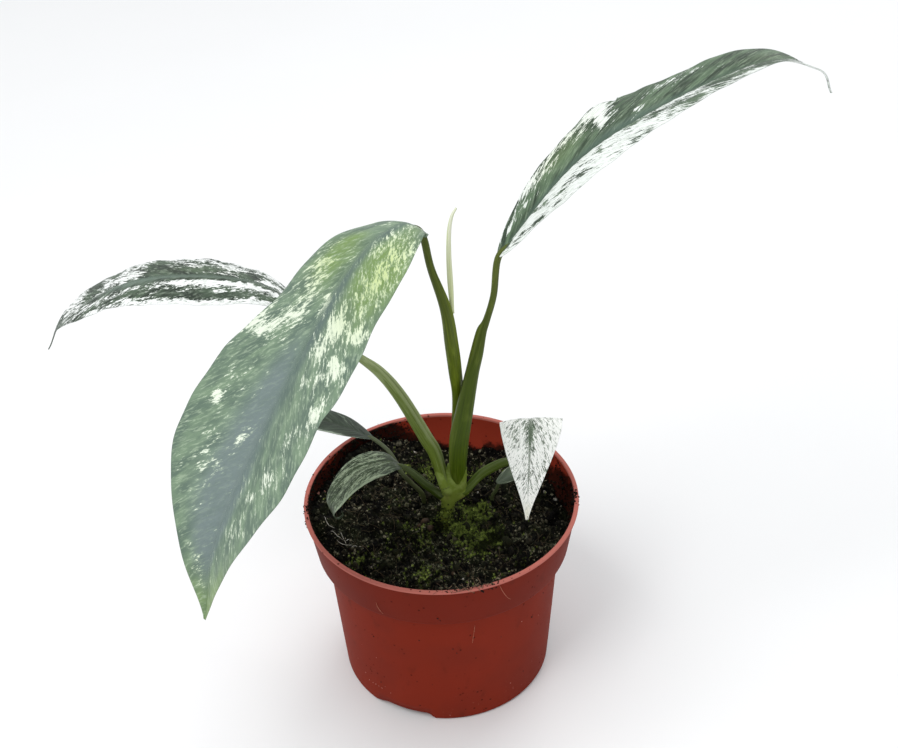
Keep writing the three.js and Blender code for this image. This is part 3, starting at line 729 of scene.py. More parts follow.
def peat_material(name, dark, brown, green_share, light_share=0.0):
    """Moist peat: nearly black with brown crumbs, a thin green film of algae, some light lumps and blotches
    of painted shade.
    """
    shader = Shader(name)
    place = shader.place()
    crumb = shader.noise(place, 900, 6, 0.7)
    colour = shader.mix(crumb.step(0.48, 0.74), dark, brown)
    colour = colour.mix((64, 56, 44), shader.noise(place, 420).step(0.6, 0.74))
    colour = colour.mix((176, 170, 142), shader.attribute("tone") ** 6.0 * light_share)
    colour = colour.mix((46, 54, 26), shader.noise(place, 75, 4, 0.6).step(0.42, 0.64) * green_share)
    # Painted shade: near-black blotches stand in for the shade of deep gaps between clods
    colour = colour.mix((5, 4, 3), shader.noise(place, 150, 5, 0.7).step(0.53, 0.43) * 0.8)
    return shader.finish(colour, crumb.spread(0.7, 0.95), 0.12, shader.bump(crumb, 0.0012, 0.9))


def grain_material(name, pale, dark, scale):
    """Small matter of one kind, clouded between two colours."""
    shader = Shader(name)
    cloud = shader.noise(shader.place(), scale, 4)
    colour = shader.mix(cloud.step(0.35, 0.65), dark, pale)
    return shader.finish(colour, cloud.spread(0.55, 0.85), 0.2, shader.bump(cloud, 0.0003, 0.6))


def moss_material(name, dark, green, bright):
    """Moss: dark at the foot of each shoot, bright at the tips of some, and dimmed in blotches of painted
    shade.
    """
    shader = Shader(name)
    cloud = shader.noise(shader.place(), 150, 5, 0.7)
    # The tips are dimmed in the same blotches as the peat's painted shade
    tips = shader.attribute("rise") * (cloud.step(0.43, 0.56) + 0.3)
    colour = shader.mix(tips.step(0.1, 0.75), dark, green)
    colour = colour.mix(bright, shader.attribute("tone") ** 2.5 * tips.step(0.3, 1.0))
    return shader.finish(colour, cloud.spread(0.6, 0.85), 0.15)


def floor_material():
    shader = Shader("floor")
    cloud = shader.noise(shader.place(), 3, 4)
    return shader.finish(shader.mix(cloud, (236, 236, 236), (242, 242, 242)), cloud.spread(0.6, 0.7), 0.5)


# Mesh helpers

def make_piece(name, points, faces, material, slot=None, replaces=()):
    """A piece of the object from points in millimetres, riding on the one body."""
    mesh = bpy.data.meshes.new(name)
    mesh.from_pydata((np.asarray(points) * MM).tolist(), [], [list(map(int, face)) for face in faces])
    mesh.polygons.foreach_set("use_smooth", [True] * len(mesh.polygons))
    mesh.materials.append(material)
    piece = bpy.data.objects.new(name, mesh)
    SCENE.collection.objects.link(piece)
    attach(piece, "root")
    if replaces:
        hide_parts(*replaces)
    return piece


def apply_modifiers(piece):
    graph = bpy.context.evaluated_depsgraph_get()
    made = bpy.data.meshes.new_from_object(piece.evaluated_get(graph))
    piece.modifiers.clear()
    piece.data = made
    piece.data.polygons.foreach_set("use_smooth", [True] * len(made.polygons))


def set_value(piece, name, values):
    layer = piece.data.attributes.new(name, "FLOAT", "POINT")
    layer.data.foreach_set("value", np.asarray(values, np.float32).ravel())


def set_vector(piece, name, values):
    layer = piece.data.attributes.new(name, "FLOAT_VECTOR", "POINT")
    layer.data.foreach_set("vector", np.asarray(values, np.float32).ravel())


def catmull(points, share):
    """Uniform Catmull-Rom curve through points of any size, at shares from 0 to 1."""
    points = np.asarray(points, float)
    place = np.clip(np.asarray(share, float), 0, 1) * (len(points) - 1)
    before = np.minimum(place.astype(int), len(points) - 2)
    t = (place - before)[:, None]
    padded = np.vstack([2 * points[0] - points[1], points, 2 * points[-1] - points[-2]])
    p0, p1, p2, p3 = (padded[before + k] for k in range(4))
    slope_in = (p2 - p0) / 2
    slope_out = (p3 - p1) / 2
    cubic = 2 * p1 - 2 * p2 + slope_in + slope_out
    square = -3 * p1 + 3 * p2 - 2 * slope_in - slope_out
    return p1 + t * (slope_in + t * (square + t * cubic))


def unit(vectors):
    return vectors / np.linalg.norm(vectors, axis=-1, keepdims=True)


def lengths_along(line):
    """Length of a line up to each of its points."""
    return np.concatenate([[0], np.cumsum(np.linalg.norm(np.diff(line, axis=0), axis=1))])


def even_angles(count):
    return np.linspace(0, 2 * math.pi, count, endpoint=False)


def polar(radius, angle, height):
    """Points at radii and angles about the pot's axis, and at heights."""
    return np.column_stack(np.broadcast_arrays(radius * np.cos(angle), radius * np.sin(angle), height))


def rings_round(centre, across, up, reach, angle):
    """Points of rings round a centre line, at a reach for each ring and angle, ring after ring."""
    rings = (centre[:, None] + across[:, None] * (reach * np.cos(angle))[..., None]
             + up[:, None] * (reach * np.sin(angle))[..., None])
    return rings.reshape(-1, 3)


def tube_faces(rings, sides, capped=False):
    """Faces between the rings of a tube, and across its ends where it is capped."""
    faces = []
    for i in range(rings - 1):
        for j in range(sides):
            a, b = i * sides + j, i * sides + (j + 1) % sides
            faces.append((a, b, b + sides, a + sides))
    if capped:
        faces.append(tuple(reversed(range(sides))))
        faces.append(tuple(range((rings - 1) * sides, rings * sides)))
    return faces


def value_noise(x, y, seed):
    """Smooth noise from -1 to 1 on a unit lattice."""
    lattice = np.random.default_rng(seed).uniform(-1, 1, (NOISE_LATTICE, NOISE_LATTICE))
    column, row = np.floor(x).astype(int), np.floor(y).astype(int)
    u, v = x - column, y - row
    u, v = u * u * (3 - 2 * u), v * v * (3 - 2 * v)
    corner = [[lattice[(row + j) % NOISE_LATTICE, (column + i) % NOISE_LATTICE] for i in (0, 1)]
              for j in (0, 1)]
    lower = corner[0][0] * (1 - u) + corner[0][1] * u
    upper = corner[1][0] * (1 - u) + corner[1][1] * u
    return lower * (1 - v) + upper * v


def scattered(shape, places, turns, sizes):
    """Copies of a (points, faces) shape, each turned, sized and placed, as one set of points and faces."""
    points, faces = shape
    copies = places[:, None] + np.einsum("nij,nmj->nmi", turns, points[None] * sizes[:, None])
    offsets = np.arange(len(places))[:, None, None] * len(points)
    return copies.reshape(-1, 3), (np.asarray(faces)[None] + offsets).reshape(-1, len(faces[0]))


def random_turns(random, count, tilt=math.pi):
    """Rotation matrices: any turn about the vertical, after a tilt of up to the given angle."""
    turns = []
    for spin, lean, side in zip(random.uniform(0, 2 * math.pi, count), random.uniform(0, tilt, count),
                                random.uniform(0, 2 * math.pi, count)):
        axis = Vector((math.cos(side), math.sin(side), 0))
        turns.append(np.array(Matrix.Rotation(lean, 3, axis) @ Matrix.Rotation(spin, 3, "Z")))
    return np.array(turns)


def lump_shape(seed, detail, rough):
    """A small irregular lump about 1 across, as points and triangles."""
    form = bmesh.new()
    bmesh.ops.create_icosphere(form, subdivisions=detail, radius=0.5)
    random = np.random.default_rng(seed)
    points = np.array([v.co for v in form.verts])
    points = points * random.uniform(1 - rough, 1 + rough, (len(points), 1))
    points = points * random.uniform(0.6, 1.2, 3)
    faces = [[v.index for v in face.verts] for face in form.faces]
    form.free()
    return points, faces


def scattered_lumps(random, lump, places, sizes, least, most):
    """Turned copies of a lump, each drawn out by its own amounts from least to most."""
    scales = sizes[:, None] * random.uniform(least, most, (len(sizes), 3))
    return scattered(lump, places, random_turns(random, len(sizes)), scales)


def join_blocks(blocks):
    """One set of points and faces from several (points, faces) blocks."""
    points, faces, base = [], [], 0
    for block_points, block_faces in blocks:
        points.append(block_points)
        faces += [tuple(base + int(k) for k in face) for face in block_faces]
        base += len(block_points)
    return np.vstack(points), faces


# Stalks

def stalk(name, rows, facing, material, slot, replaces, start):
    """Round stalk with a two-edged sheath on its facing side; start runs it back into its neighbour."""
    rows = np.asarray(rows, float)
    rings = STALK_RINGS * (len(rows) - 1)
    share = np.linspace(0, 1, rings + 1)
    line = catmull(rows, share)
    centre, radius, wing = line[:, :3], line[:, 3:4], line[:, 4:]
    ahead = unit(catmull(rows[:, :3], share + 1e-3) - catmull(rows[:, :3], share - 1e-3))
    side = unit(np.cross(np.asarray(facing, float), ahead))
    centre[0] -= start * ahead[0]
    angle = even_angles(STALK_SIDES)
    middles = (WING_ANGLE, 2 * math.pi - WING_ANGLE)
    lift = np.maximum(wing, 0) * sum(np.exp(-((angle - middle) / WING_SPREAD) ** 2) for middle in middles)
    ring = rings_round(centre, np.cross(ahead, side), -side, radius + lift, angle)
    faces = tube_faces(rings + 1, STALK_SIDES)
    first, last = len(ring), len(ring) + 1
    for j in range(STALK_SIDES):
        k = (j + 1) % STALK_SIDES
        faces.append((first, k, j))
        faces.append((last, rings * STALK_SIDES + j, rings * STALK_SIDES + k))
    piece = make_piece(name, np.vstack([ring, centre[:1], centre[-1:]]), faces, material, slot, replaces)
    around = np.tile(angle, rings + 1)
    set_value(piece, "along", [*np.repeat(share, STALK_SIDES), 0, 1])
    set_value(piece, "wing", [*np.clip(lift, 0, 1).ravel(), 0, 0])
    place = polar(2, around, np.repeat(lengths_along(centre), STALK_SIDES))
    set_vector(piece, "stalk", np.vstack([place, np.zeros((2, 3))]))


def build_petiole(name, material):
    """Petiole that runs on, ever thinner, under the midrib of its blade."""
    facing, rows = PETIOLES[name]
    shares, sizes = np.transpose(RUN_ON)
    radius = sizes * rows[-1][3]
    centre, ahead, level, _ = midrib(LEAVES[name], shares)
    up = np.cross(ahead, unit(level - (ahead @ level)[:, None] * ahead))
    run = np.column_stack([centre - up * (0.8 * radius + 0.1)[:, None], radius, 0 * radius])
    stalk(f"{name}_petiole", np.vstack([rows, run]), facing, material, "petiole_green",
          [f"{name}_leaf_petiole"], PETIOLE_START)


# Blades

def profile_at(values, share):
    return np.interp(share, np.linspace(0, 1, len(values)), values)


def midrib(leaf, share):
    """A blade's midrib at shares of its length: points, forward directions, its level left, its length."""
    heading = np.array([math.cos(math.radians(leaf["azimuth"])), math.sin(math.radians(leaf["azimuth"])), 0])
    left = np.array([-heading[1], heading[0], 0])
    arch = np.array([(0, 0), *leaf["arch"]], float)
    sway = leaf["sway"] * (arch[:, 0] / arch[:, 0].max()) ** 2
    points = (np.array(leaf["foot"]) + arch[:, :1] * heading + sway[:, None] * left
              + arch[:, 1:] * np.array([0, 0, 1]))
    fine = np.linspace(0, 1, 801)
    length = lengths_along(catmull(points, fine))
    place = np.interp(share * length[-1], length, fine)
    low, high = np.clip(place - 1e-4, 0, 1), np.clip(place + 1e-4, 0, 1)
    return catmull(points, place), unit(catmull(points, high) - catmull(points, low)), left, length[-1]


def half_widths(leaf, share):
    """Widths of the right and the left half, in two columns."""
    base, tip = leaf["shape"]
    peak = base / (base + tip)
    x = np.clip(share / (1 - leaf["tail"]), 0, 1)
    law = x ** base * (1 - x) ** tip / (peak ** base * (1 - peak) ** tip)
    widths = leaf["width"] / 2 * law[:, None] + catmull(np.transpose(leaf["trim"]), x)
    widths = np.maximum(widths, 0) + FOOT_HALF_WIDTH
    for start, end, side, extra in leaf.get("lobes", ()):
        place = np.clip((share - start) / (end - start), 0, 1)
        widths[:, (side + 1) // 2] += extra * np.sin(math.pi * place ** 1.6)
    return widths


def middle_surface(leaf, share, across):
    """The blade's middle surface, the distance out from the midrib at each point, and the length."""
    centre, ahead, level, length = midrib(leaf, share)
    left = unit(level - (ahead @ level)[:, None] * ahead)
    up = np.cross(ahead, left)
    roll = np.radians(profile_at(leaf["roll"], share))[:, None]
    left, up = left * np.cos(roll) + up * np.sin(roll), up * np.cos(roll) - left * np.sin(roll)
    fold = np.radians(profile_at(leaf["fold"], share))[:, None]
    widths = half_widths(leaf, share)
    out = np.where(across[None] > 0, widths[:, 1:], widths[:, :1]) * np.abs(across)[None]
    bend = math.radians(leaf["curl"]) * np.abs(across)[None] / 2
    reach = out * np.sinc(bend / math.pi)
    sideways = np.sign(across)[None] * reach * np.cos(fold - bend)
    upward = reach * np.sin(fold - bend)
    points = centre[:, None] + sideways[..., None] * left[:, None] + upward[..., None] * up[:, None]
    return points, out, length


def patches(list_of_patches, share, across):
    total = np.zeros((len(share), len(across)))
    for along, sideways, length, breadth, amount in list_of_patches:
        total += amount * np.exp(-((share[:, None] - along) / length) ** 2
                                 - ((across[None] - sideways) / breadth) ** 2)
    return total


def both_sides(upper, lower):
    """Rows of a blade's upper side, right to left, each going on with its lower side, left to right."""
    return np.concatenate([upper, lower[:, ::-1]], axis=1)


def blade_faces(rows, wide):
    """Faces of a closed blade of rows, each wide points on its upper side and as many on its lower one."""
    faces = [(a, d, c, b) for a, b, c, d in tube_faces(rows, 2 * wide)]
    tip = (rows - 1) * 2 * wide
    for j in range(wide - 1):
        end = (j, j + 1, 2 * wide - 2 - j, 2 * wide - 1 - j)
        faces.append(end)
        faces.append(tuple(tip + k for k in reversed(end)))
    return faces


def build_blade(name, material, slot):
    """Thin blade with a channelled midrib, a keel under it, quilted side veins and a waved margin."""
    leaf = LEAVES[name]
    share = np.linspace(0, 1, leaf["rows"] + 1)
    even = np.linspace(-1, 1, leaf["columns"] + 1)
    across = (even + np.sin(even * math.pi / 2)) / 2
    points, out, length = middle_surface(leaf, share, across)
    normal = unit(np.cross(np.gradient(points, axis=0), np.gradient(points, axis=1)))[..., None, :]
    along = share[:, None] * length
    start = along - leaf["slant"] * out

    swell = out.max(axis=1, keepdims=True) / out.max()
    relief = QUILT_HEIGHT * np.cos(2 * math.pi * start / leaf["spacing"]) * swell * (1 - across[None] ** 4)
    margin = np.abs(across)[None] ** 2.5
    for number, (height, wavelength) in enumerate(leaf["waves"]):
        phase = np.where(across > 0, *WAVE_PHASES)[None] + number
        relief = relief + height * margin * np.sin(2 * math.pi * along / wavelength + phase) * swell
    channel = -CHANNEL_DEPTH * np.exp(-(out / CHANNEL_HALF_WIDTH) ** 2) * swell
    body = leaf["thickness"] / 2 * (1 - MARGIN_THINNING * margin)
    keel = leaf["keel"] * np.exp(-(out / (KEEL_HALF_WIDTH * leaf["keel"])) ** 2) * (1 - share[:, None]) ** 0.8
    levels = np.stack([relief + body + channel, relief - body - keel], axis=-1)[..., None]
    sheets = points[..., None, :] + levels * normal
    shell = both_sides(sheets[:, :, 0], sheets[:, :, 1])
    piece = make_piece(f"{name}_blade", shell.reshape(-1, 3), blade_faces(*out.shape), material, slot,
                       [f"{name}_leaf_blade"])

    # Where each point lies along and across the side veins, apart for the two halves and the lower side
    vein = np.stack([start, out, np.sign(across)[None] * HAND_OFFSET + 0 * along], axis=-1)
    set_vector(piece, "vein", both_sides(vein, vein + (0, 0, UNDERSIDE_OFFSET)))
    for zone in ("pale", "lime", "painted_sheen", "rib_shade"):
        values = patches(leaf[zone], share, across)
        if zone == "pale":
            values += np.where(across < 0, *leaf["paleness"])[None]
        values = np.clip(values, -1, 1)
        set_value(piece, zone, both_sides(values, values))


# Stem

def build_stem(material):
    """Short stem with a short fork on it and the feet of the petioles that leave it, all grown together."""
    even = np.linspace(0, 1, STEM_RINGS)
    limbs = [(limb[:, :3], limb[:, 3:]) for limb in (catmull(STEM, even), catmull(FORK, even))]
    spine = catmull(STEM, np.linspace(0, 1, 200))[:, :3]
    for name in STEM_LEAVES:
        rows = np.array(PETIOLES[name][1], float)
        root = spine[np.argmin(np.abs(spine[:, 2] - rows[0, 2] + NODE_DROP))]
        route = [root, rows[0, :3], catmull(rows[:, :3], FOOT_SHARES[1:])[0]]
        size = catmull(rows[:, 3:4], np.linspace(*FOOT_SHARES, STEM_RINGS)) * FOOT_SWELL
        limbs.append((catmull(route, even), size * np.linspace(1, FOOT_TAPER, STEM_RINGS)[:, None]))
    blocks = []
    for centre, size in limbs:
        ahead = unit(np.gradient(centre, axis=0))
        side = unit(np.cross(ahead, (0.2, 1, 0)))
        blocks.append((rings_round(centre, np.cross(side, ahead), side, size, even_angles(STEM_SIDES)),
                       tube_faces(STEM_RINGS, STEM_SIDES, capped=True)))
    piece = make_piece("stem_with_nodes", *join_blocks(blocks), material, "stem_green", ["stem"])
    remesh = piece.modifiers.new("grown", "REMESH")
    remesh.mode = "VOXEL"
    remesh.voxel_size = STEM_VOXEL * MM
    remesh.use_smooth_shade = True
    smooth = piece.modifiers.new("smooth", "SMOOTH")
    smooth.iterations = STEM_SMOOTHING
    apply_modifiers(piece)


# Pot

def quarter(radius, middle, first, last, steps):
    """Points (radius, height) on an arc about a middle, from a first to a last angle in degrees."""
    return [(middle[0] + radius * math.cos(a), middle[1] + radius * math.sin(a))
            for a in np.radians(np.linspace(first, last, steps))]


def pot_outside(rise):
    """Outline of the pot's outside, (radius, height) from its middle to its lip, with a raised foot."""
    corner = quarter(CORNER_RADIUS, (BASE_RADIUS - CORNER_RADIUS, CORNER_RADIUS), -90, 0, 6)
    flare = (BODY_TOP_RADIUS - BASE_RADIUS) / (BODY_TOP - CORNER_RADIUS)
    rises = [(BODY_TOP - CORNER_RADIUS) * share for share in (0.1, 0.3, 0.5, 0.7, 0.9, 0.98)]
    wall = [(BASE_RADIUS + flare * up, CORNER_RADIUS + up) for up in rises]
    foot = [(0.01, 0), (RECESS_INNER_RADIUS - 0.5, 0), (RECESS_INNER_RADIUS, min(rise, 0.4)),
            (RECESS_INNER_RADIUS + 0.4, rise)]
    foot += [(radius, max(height, rise)) for radius, height in corner + wall]
    collar = [(BODY_TOP_RADIUS + 0.15, BODY_TOP), (BODY_TOP_RADIUS + 0.8, BODY_TOP + 0.5),
              (COLLAR_RADIUS - 0.9, COLLAR_FOOT - 0.45), (COLLAR_RADIUS - 0.3, COLLAR_FOOT - 0.15),
              (COLLAR_RADIUS, COLLAR_FOOT + 0.5), (COLLAR_TOP_RADIUS - 0.05, LIP_UNDERSIDE - 0.5),
              (COLLAR_TOP_RADIUS + 0.05, LIP_UNDERSIDE)]
    lip = quarter(LIP_ROUND[0], (LIP_RADIUS - LIP_ROUND[0], LIP_UNDERSIDE + LIP_ROUND[0]), -90, 0, 5)
    lip += quarter(LIP_ROUND[1], (LIP_RADIUS - LIP_ROUND[1], POT_HEIGHT - LIP_ROUND[1]), 0, 90, 6)
    return foot + collar + lip


def pot_inside(rise):
    """Outline of the pot's inside, from its lip down to the middle of its floor."""
    top = COLLAR_TOP_RADIUS - WALL
    lift = rise + WALL
    return [(top + 0.5, POT_HEIGHT), (top + 0.15, POT_HEIGHT - 0.12), (top, POT_HEIGHT - 0.5),
            (top, LIP_UNDERSIDE), (COLLAR_RADIUS - WALL, COLLAR_FOOT + 1),
            (BODY_TOP_RADIUS - WALL, BODY_TOP + 0.7),
            (BASE_RADIUS - WALL, max(CORNER_RADIUS + WALL, lift)),
            (BASE_RADIUS - WALL - 0.5, max(WALL + 0.5, lift)),
            (BASE_RADIUS - WALL - CORNER_RADIUS, lift), (RECESS_INNER_RADIUS - 1.0, lift),
            (RECESS_INNER_RADIUS - 1.8, WALL), (0.01, WALL)]


def turn_from(middle, azimuth):
    """Degrees from a middle azimuth to another, from -180 to 180."""
    return (azimuth - middle + 180) % 360 - 180


def recess_rise(azimuth):
    """Height of the foot's edge at an azimuth: raised in the three recesses, with leaning ends."""
    turn = min((turn_from(middle, azimuth) for middle in RECESS_AZIMUTHS), key=abs)
    lean = RECESS_LEAN[0] if turn < 0 else RECESS_LEAN[1]
    return RECESS_HEIGHT * np.clip((RECESS_SPAN / 2 - abs(turn)) / lean, 0, 1)


def soil_edge(angle):
    """The soil's height at the wall, at angles in radians."""
    return soil_height(SOIL_EDGE * np.cos(angle), SOIL_EDGE * np.sin(angle))


def soil_line(azimuth):
    """Height to which soil clings to the inside of the wall at an azimuth."""
    line = soil_edge(math.radians(azimuth)) + 0.5
    for middle, spread, _, reach in WALL_DIRT:
        line += reach * math.exp(-(turn_from(middle, azimuth) / (1.3 * spread)) ** 2)
    return line


def slot_cutter(middle):
    """Block that cuts one curved drain slot, from below the pot to over its floor."""
    inner, outer = SLOT_RADII
    low, high = SLOT_HEIGHTS
    radius, height = np.transpose([(inner, low), (inner, high), (outer, high), (outer, low)])
    angles = np.radians(middle + SLOT_SPAN * np.linspace(-0.5, 0.5, 9))
    points = np.vstack([polar(radius, angle, height) for angle in angles])
    mesh = bpy.data.meshes.new("slot")
    mesh.from_pydata((points * MM).tolist(), [], tube_faces(len(angles), len(radius), capped=True))
    cutter = bpy.data.objects.new("slot", mesh)
    SCENE.collection.objects.link(cutter)
    return cutter


def build_pot(material):
    azimuths = np.arange(POT_SEGMENTS) * 360 / POT_SEGMENTS
    rings = []
    for azimuth in azimuths:
        rise = recess_rise(azimuth)
        radius, height = np.transpose(pot_outside(rise) + pot_inside(rise))
        rings.append(polar(radius, math.radians(azimuth), height))
    count = len(rings[0])
    faces = []
    for k in range(POT_SEGMENTS):
        a, b = k * count, (k + 1) % POT_SEGMENTS * count
        for i in range(count - 1):
            faces.append((a + i, b + i, b + i + 1, a + i + 1))
    piece = make_piece("pot_moulding", np.vstack(rings), faces, material, "pot_plastic", ["pot"])
    inner = np.arange(count) > len(pot_outside(0)) + 1
    set_value(piece, "inside", np.tile(inner, POT_SEGMENTS))
    set_value(piece, "soil_line", np.repeat([soil_line(azimuth) * MM for azimuth in azimuths], count))
    cutters = [slot_cutter(middle) for middle in RECESS_AZIMUTHS]
    for cutter in cutters:
        cut = piece.modifiers.new("slot", "BOOLEAN")
        cut.operation = "DIFFERENCE"
        cut.solver = "EXACT"
        cut.object = cutter
    apply_modifiers(piece)
    for cutter in cutters:
        bpy.data.objects.remove(cutter)


# Soil

def soil_height(x, y):
    height = SOIL_LEVEL + 0 * x
    for hill_x, hill_y, rise, spread in SOIL_HILLS:
        height = height + rise * np.exp(-((x - hill_x) ** 2 + (y - hill_y) ** 2) / spread ** 2)
    lumps = np.sin(0.55 * x + 1.3) * np.cos(0.47 * y) + np.sin(0.31 * x - 0.62 * y)
    return height + SOIL_ROUGHNESS * lumps


def rough_soil_height(x, y):
    """The soil's height with clods and crumbs."""
    height = soil_height(x, y)
    for seed, (size, rise) in enumerate(SOIL_CRUMBLE, start=1):
        height = height + rise * value_noise(x / size + 31, y / size + 17, seed)
    return height


def wall_inside(height):
    """The pot's inner radius at a height."""
    outline = pot_inside(0)[-3::-1]
    return np.interp(height, [z for _, z in outline], [radius for radius, _ in outline])


def build_soil(material):
    """Soil body: a rough top of rings and sectors over sides and a floor that follow the pot's inside."""
    sectors, rings = SOIL_GRID
    angle = even_angles(sectors)
    reach = np.linspace(0, 1, rings + 1)[1:, None] * (wall_inside(soil_edge(angle)) - SOIL_GAP)
    x, y = (reach * np.cos(angle)).ravel(), (reach * np.sin(angle)).ravel()
    floor, base = CORNER_RADIUS + WALL + 1, BASE_RADIUS - WALL
    sides = ((BODY_TOP_RADIUS - WALL - 0.4, BODY_TOP - 2), (base - 0.3, floor + 3), (base - 3, floor))
    centre = np.zeros(1)
    points = np.vstack([np.column_stack([x, y, rough_soil_height(x, y)]),
                        *(polar(radius, angle, height) for radius, height in sides),
                        np.column_stack([centre, centre, rough_soil_height(centre, centre)]),
                        (0, 0, floor)])
    middle, bottom = len(points) - 2, len(points) - 1
    faces = []
    for j in range(sectors):
        k = (j + 1) % sectors
        faces.append((middle, j, k))
        faces.append((bottom, (rings + 2) * sectors + k, (rings + 2) * sectors + j))
        for i in range(rings + 2):
            faces.append((i * sectors + j, (i + 1) * sectors + j, (i + 1) * sectors + k, i * sectors + k))
    make_piece("soil_bed", points, faces, material, "peat", ["soil"])


def soil_places(random, count, reach):
    """Even random places on the soil, inside the pot."""
    radius = reach * np.sqrt(random.uniform(0, 1, count))
    angle = random.uniform(0, 2 * math.pi, count)
    return radius * np.cos(angle), radius * np.sin(angle)


def inside_wall(x, y, z, margin):
    """Keeps places clear of the pot's wall by a margin."""
    shrink = np.minimum(1, (wall_inside(z) - margin) / np.maximum(np.hypot(x, y), 1e-6))
    return x * shrink, y * shrink


def build_crumbs(name, material, count, size, detail, seed, lift=0.3):
    """Lumps of some shapes, many sizes and some lighter than others, half sunk in the soil."""
    random = np.random.default_rng(seed)
    share = count // CRUMB_SHAPES
    blocks, tones = [], []
    for shape in range(CRUMB_SHAPES):
        x, y = soil_places(random, share, SOIL_REACH)
        sizes = np.clip(random.lognormal(math.log(size), 0.4, share), 0.3, 2.4 * size)
        z = rough_soil_height(x, y) + lift * sizes
        x, y = inside_wall(x, y, z, 0.6 * sizes)
        lump = lump_shape(seed + shape, detail, 0.26)
        blocks.append(scattered_lumps(random, lump, np.column_stack([x, y, z]), sizes, 0.6, 1.3))
        tones.append(np.repeat(random.uniform(0, 1, share), len(lump[0])))
    piece = make_piece(name, *join_blocks(blocks), material, "peat")
    set_value(piece, "tone", np.concatenate(tones))


def build_wall_dirt(material):
    random = np.random.default_rng(SEED + 8)
    blocks = []
    for number, (middle, spread, count, reach) in enumerate(WALL_DIRT):
        angle = np.radians(random.normal(middle, spread, count))
        sizes = random.lognormal(math.log(0.75), 0.4, count)
        height = np.minimum(soil_edge(angle) + reach * random.uniform(0, 1, count) ** 1.6, POT_HEIGHT - 1)
        places = polar(wall_inside(height) - 0.3 * sizes, angle, height)
        lump = lump_shape(SEED + 30 + number, 1, 0.28)
        blocks.append(scattered_lumps(random, lump, places, sizes, 0.6, 1.3))
    make_piece("wall_dirt", *join_blocks(blocks), material, "peat")


def build_lip_crumbs(material):
    random = np.random.default_rng(SEED + 9)
    blocks = []
    for number, (middle, spread, count, size) in enumerate(LIP_CRUMBS):
        angle = np.radians(random.normal(middle, spread, count))
        radius = random.uniform(LIP_RADIUS - 2.6, LIP_RADIUS + 0.2, count)
        sizes = random.lognormal(math.log(size), 0.35, count)
        height = POT_HEIGHT + random.uniform(-0.3, 0.5, count) * sizes - 1.6 * (radius > LIP_RADIUS - 0.2)
        lump = lump_shape(SEED + number, 1, 0.3)
        blocks.append(scattered_lumps(random, lump, polar(radius, angle, height), sizes, 0.5, 1.2))
    make_piece("lip_crumbs", *join_blocks(blocks), material, "peat")


def build_stones(name, places, material, seed):
    """Grains set at (x, y, size) places on the soil."""
    random = np.random.default_rng(seed)
    blocks = []
    for number, (x, y, size) in enumerate(places):
        z = rough_soil_height(np.array([x]), np.array([y]))[0] + 0.25 * size
        blocks.append(scattered(lump_shape(seed + number, 2, 0.14), np.array([[x, y, z]]),
                                random_turns(random, 1), np.full((1, 3), size)))
    make_piece(name, *join_blocks(blocks), material)


def on_wall(azimuth, height, out):
    """Points that far out from the pot's outside."""
    radius = np.interp(height, (CORNER_RADIUS, BODY_TOP, COLLAR_FOOT, LIP_UNDERSIDE),
                       (BASE_RADIUS, BODY_TOP_RADIUS, COLLAR_RADIUS, COLLAR_TOP_RADIUS))
    return polar(radius + out, np.radians(azimuth), height)


def build_wall_grains(name, grains, material, seed):
    random = np.random.default_rng(seed)
    azimuth, height, size = np.transpose(grains)
    points, faces = scattered_lumps(random, lump_shape(seed, 2, 0.18), on_wall(azimuth, height, 0), size,
                                    0.5, 0.9)
    make_piece(name, points, faces, material)


# Moss

def moss_shoot(whorls, leaves, seed):
    """One moss shoot about 1 high: whorls of pointed leaves round an upright axis."""
    random = np.random.default_rng(seed)
    points, faces = [], []
    for level in range(whorls):
        height = level / whorls
        length = MOSS_LEAF[0] * (1 - 0.55 * height)
        for k in range(leaves):
            angle = 2 * math.pi * (k + 0.5 * level) / leaves + random.uniform(-0.2, 0.2)
            ahead = np.array([math.cos(angle), math.sin(angle), 0])
            side = np.array([-ahead[1], ahead[0], 0]) * MOSS_LEAF[1]
            root = np.array([0, 0, height * 0.85])
            tip = root + ahead * length + np.array([0, 0, random.uniform(0.25, 0.5)])
            middle = root + ahead * length * 0.5 + np.array([0, 0, 0.1])
            base = len(points)
            points += [root - side * 0.6, root + side * 0.6, middle + side, tip, middle - side]
            faces += [(base, base + 1, base + 2), (base, base + 2, base + 4), (base + 4, base + 2, base + 3)]
    return np.array(points), faces


def place_moss(random, shoot, places, tilt, sizes):
    """Copies of a moss shoot, with the height in the shoot and a random tone at each point."""
    count = len(places)
    block = scattered(shoot, places, random_turns(random, count, tilt), sizes)
    return block, np.tile(shoot[0][:, 2], count), np.repeat(random.uniform(0, 1, count), len(shoot[0]))


def join_moss(name, placed, material):
    blocks, rises, tones = zip(*placed)
    piece = make_piece(name, *join_blocks(blocks), material)
    set_value(piece, "rise", np.concatenate(rises))
    set_value(piece, "tone", np.concatenate(tones))


def build_moss(name, material, cushions, whorls, leaves, sizes, seed):
    """Cushions of moss shoots; each shoot is darkest at its foot, and some are brighter than others."""
    random = np.random.default_rng(seed)
    placed = []
    for number, (middle_x, middle_y, spread, count, heap) in enumerate(cushions):
        x = random.normal(middle_x, spread * 0.55, count)
        y = random.normal(middle_y, spread * 0.55, count)
        keep = np.hypot(x, y) < MOSS_EDGE
        x, y = x[keep], y[keep]
        apart = np.hypot(x - middle_x, y - middle_y) / spread
        z = rough_soil_height(x, y) - 0.2 + heap * np.exp(-2 * apart ** 2) * random.uniform(0.2, 1, len(x))
        size = random.uniform(*sizes, len(x))
        scales = np.column_stack([size * 0.8, size * 0.8, size * random.uniform(0.7, 1.3, len(x))])
        shoot = moss_shoot(whorls, leaves, number)
        placed.append(place_moss(random, shoot, np.column_stack([x, y, z]), 0.6, scales))
    join_moss(name, placed, material)


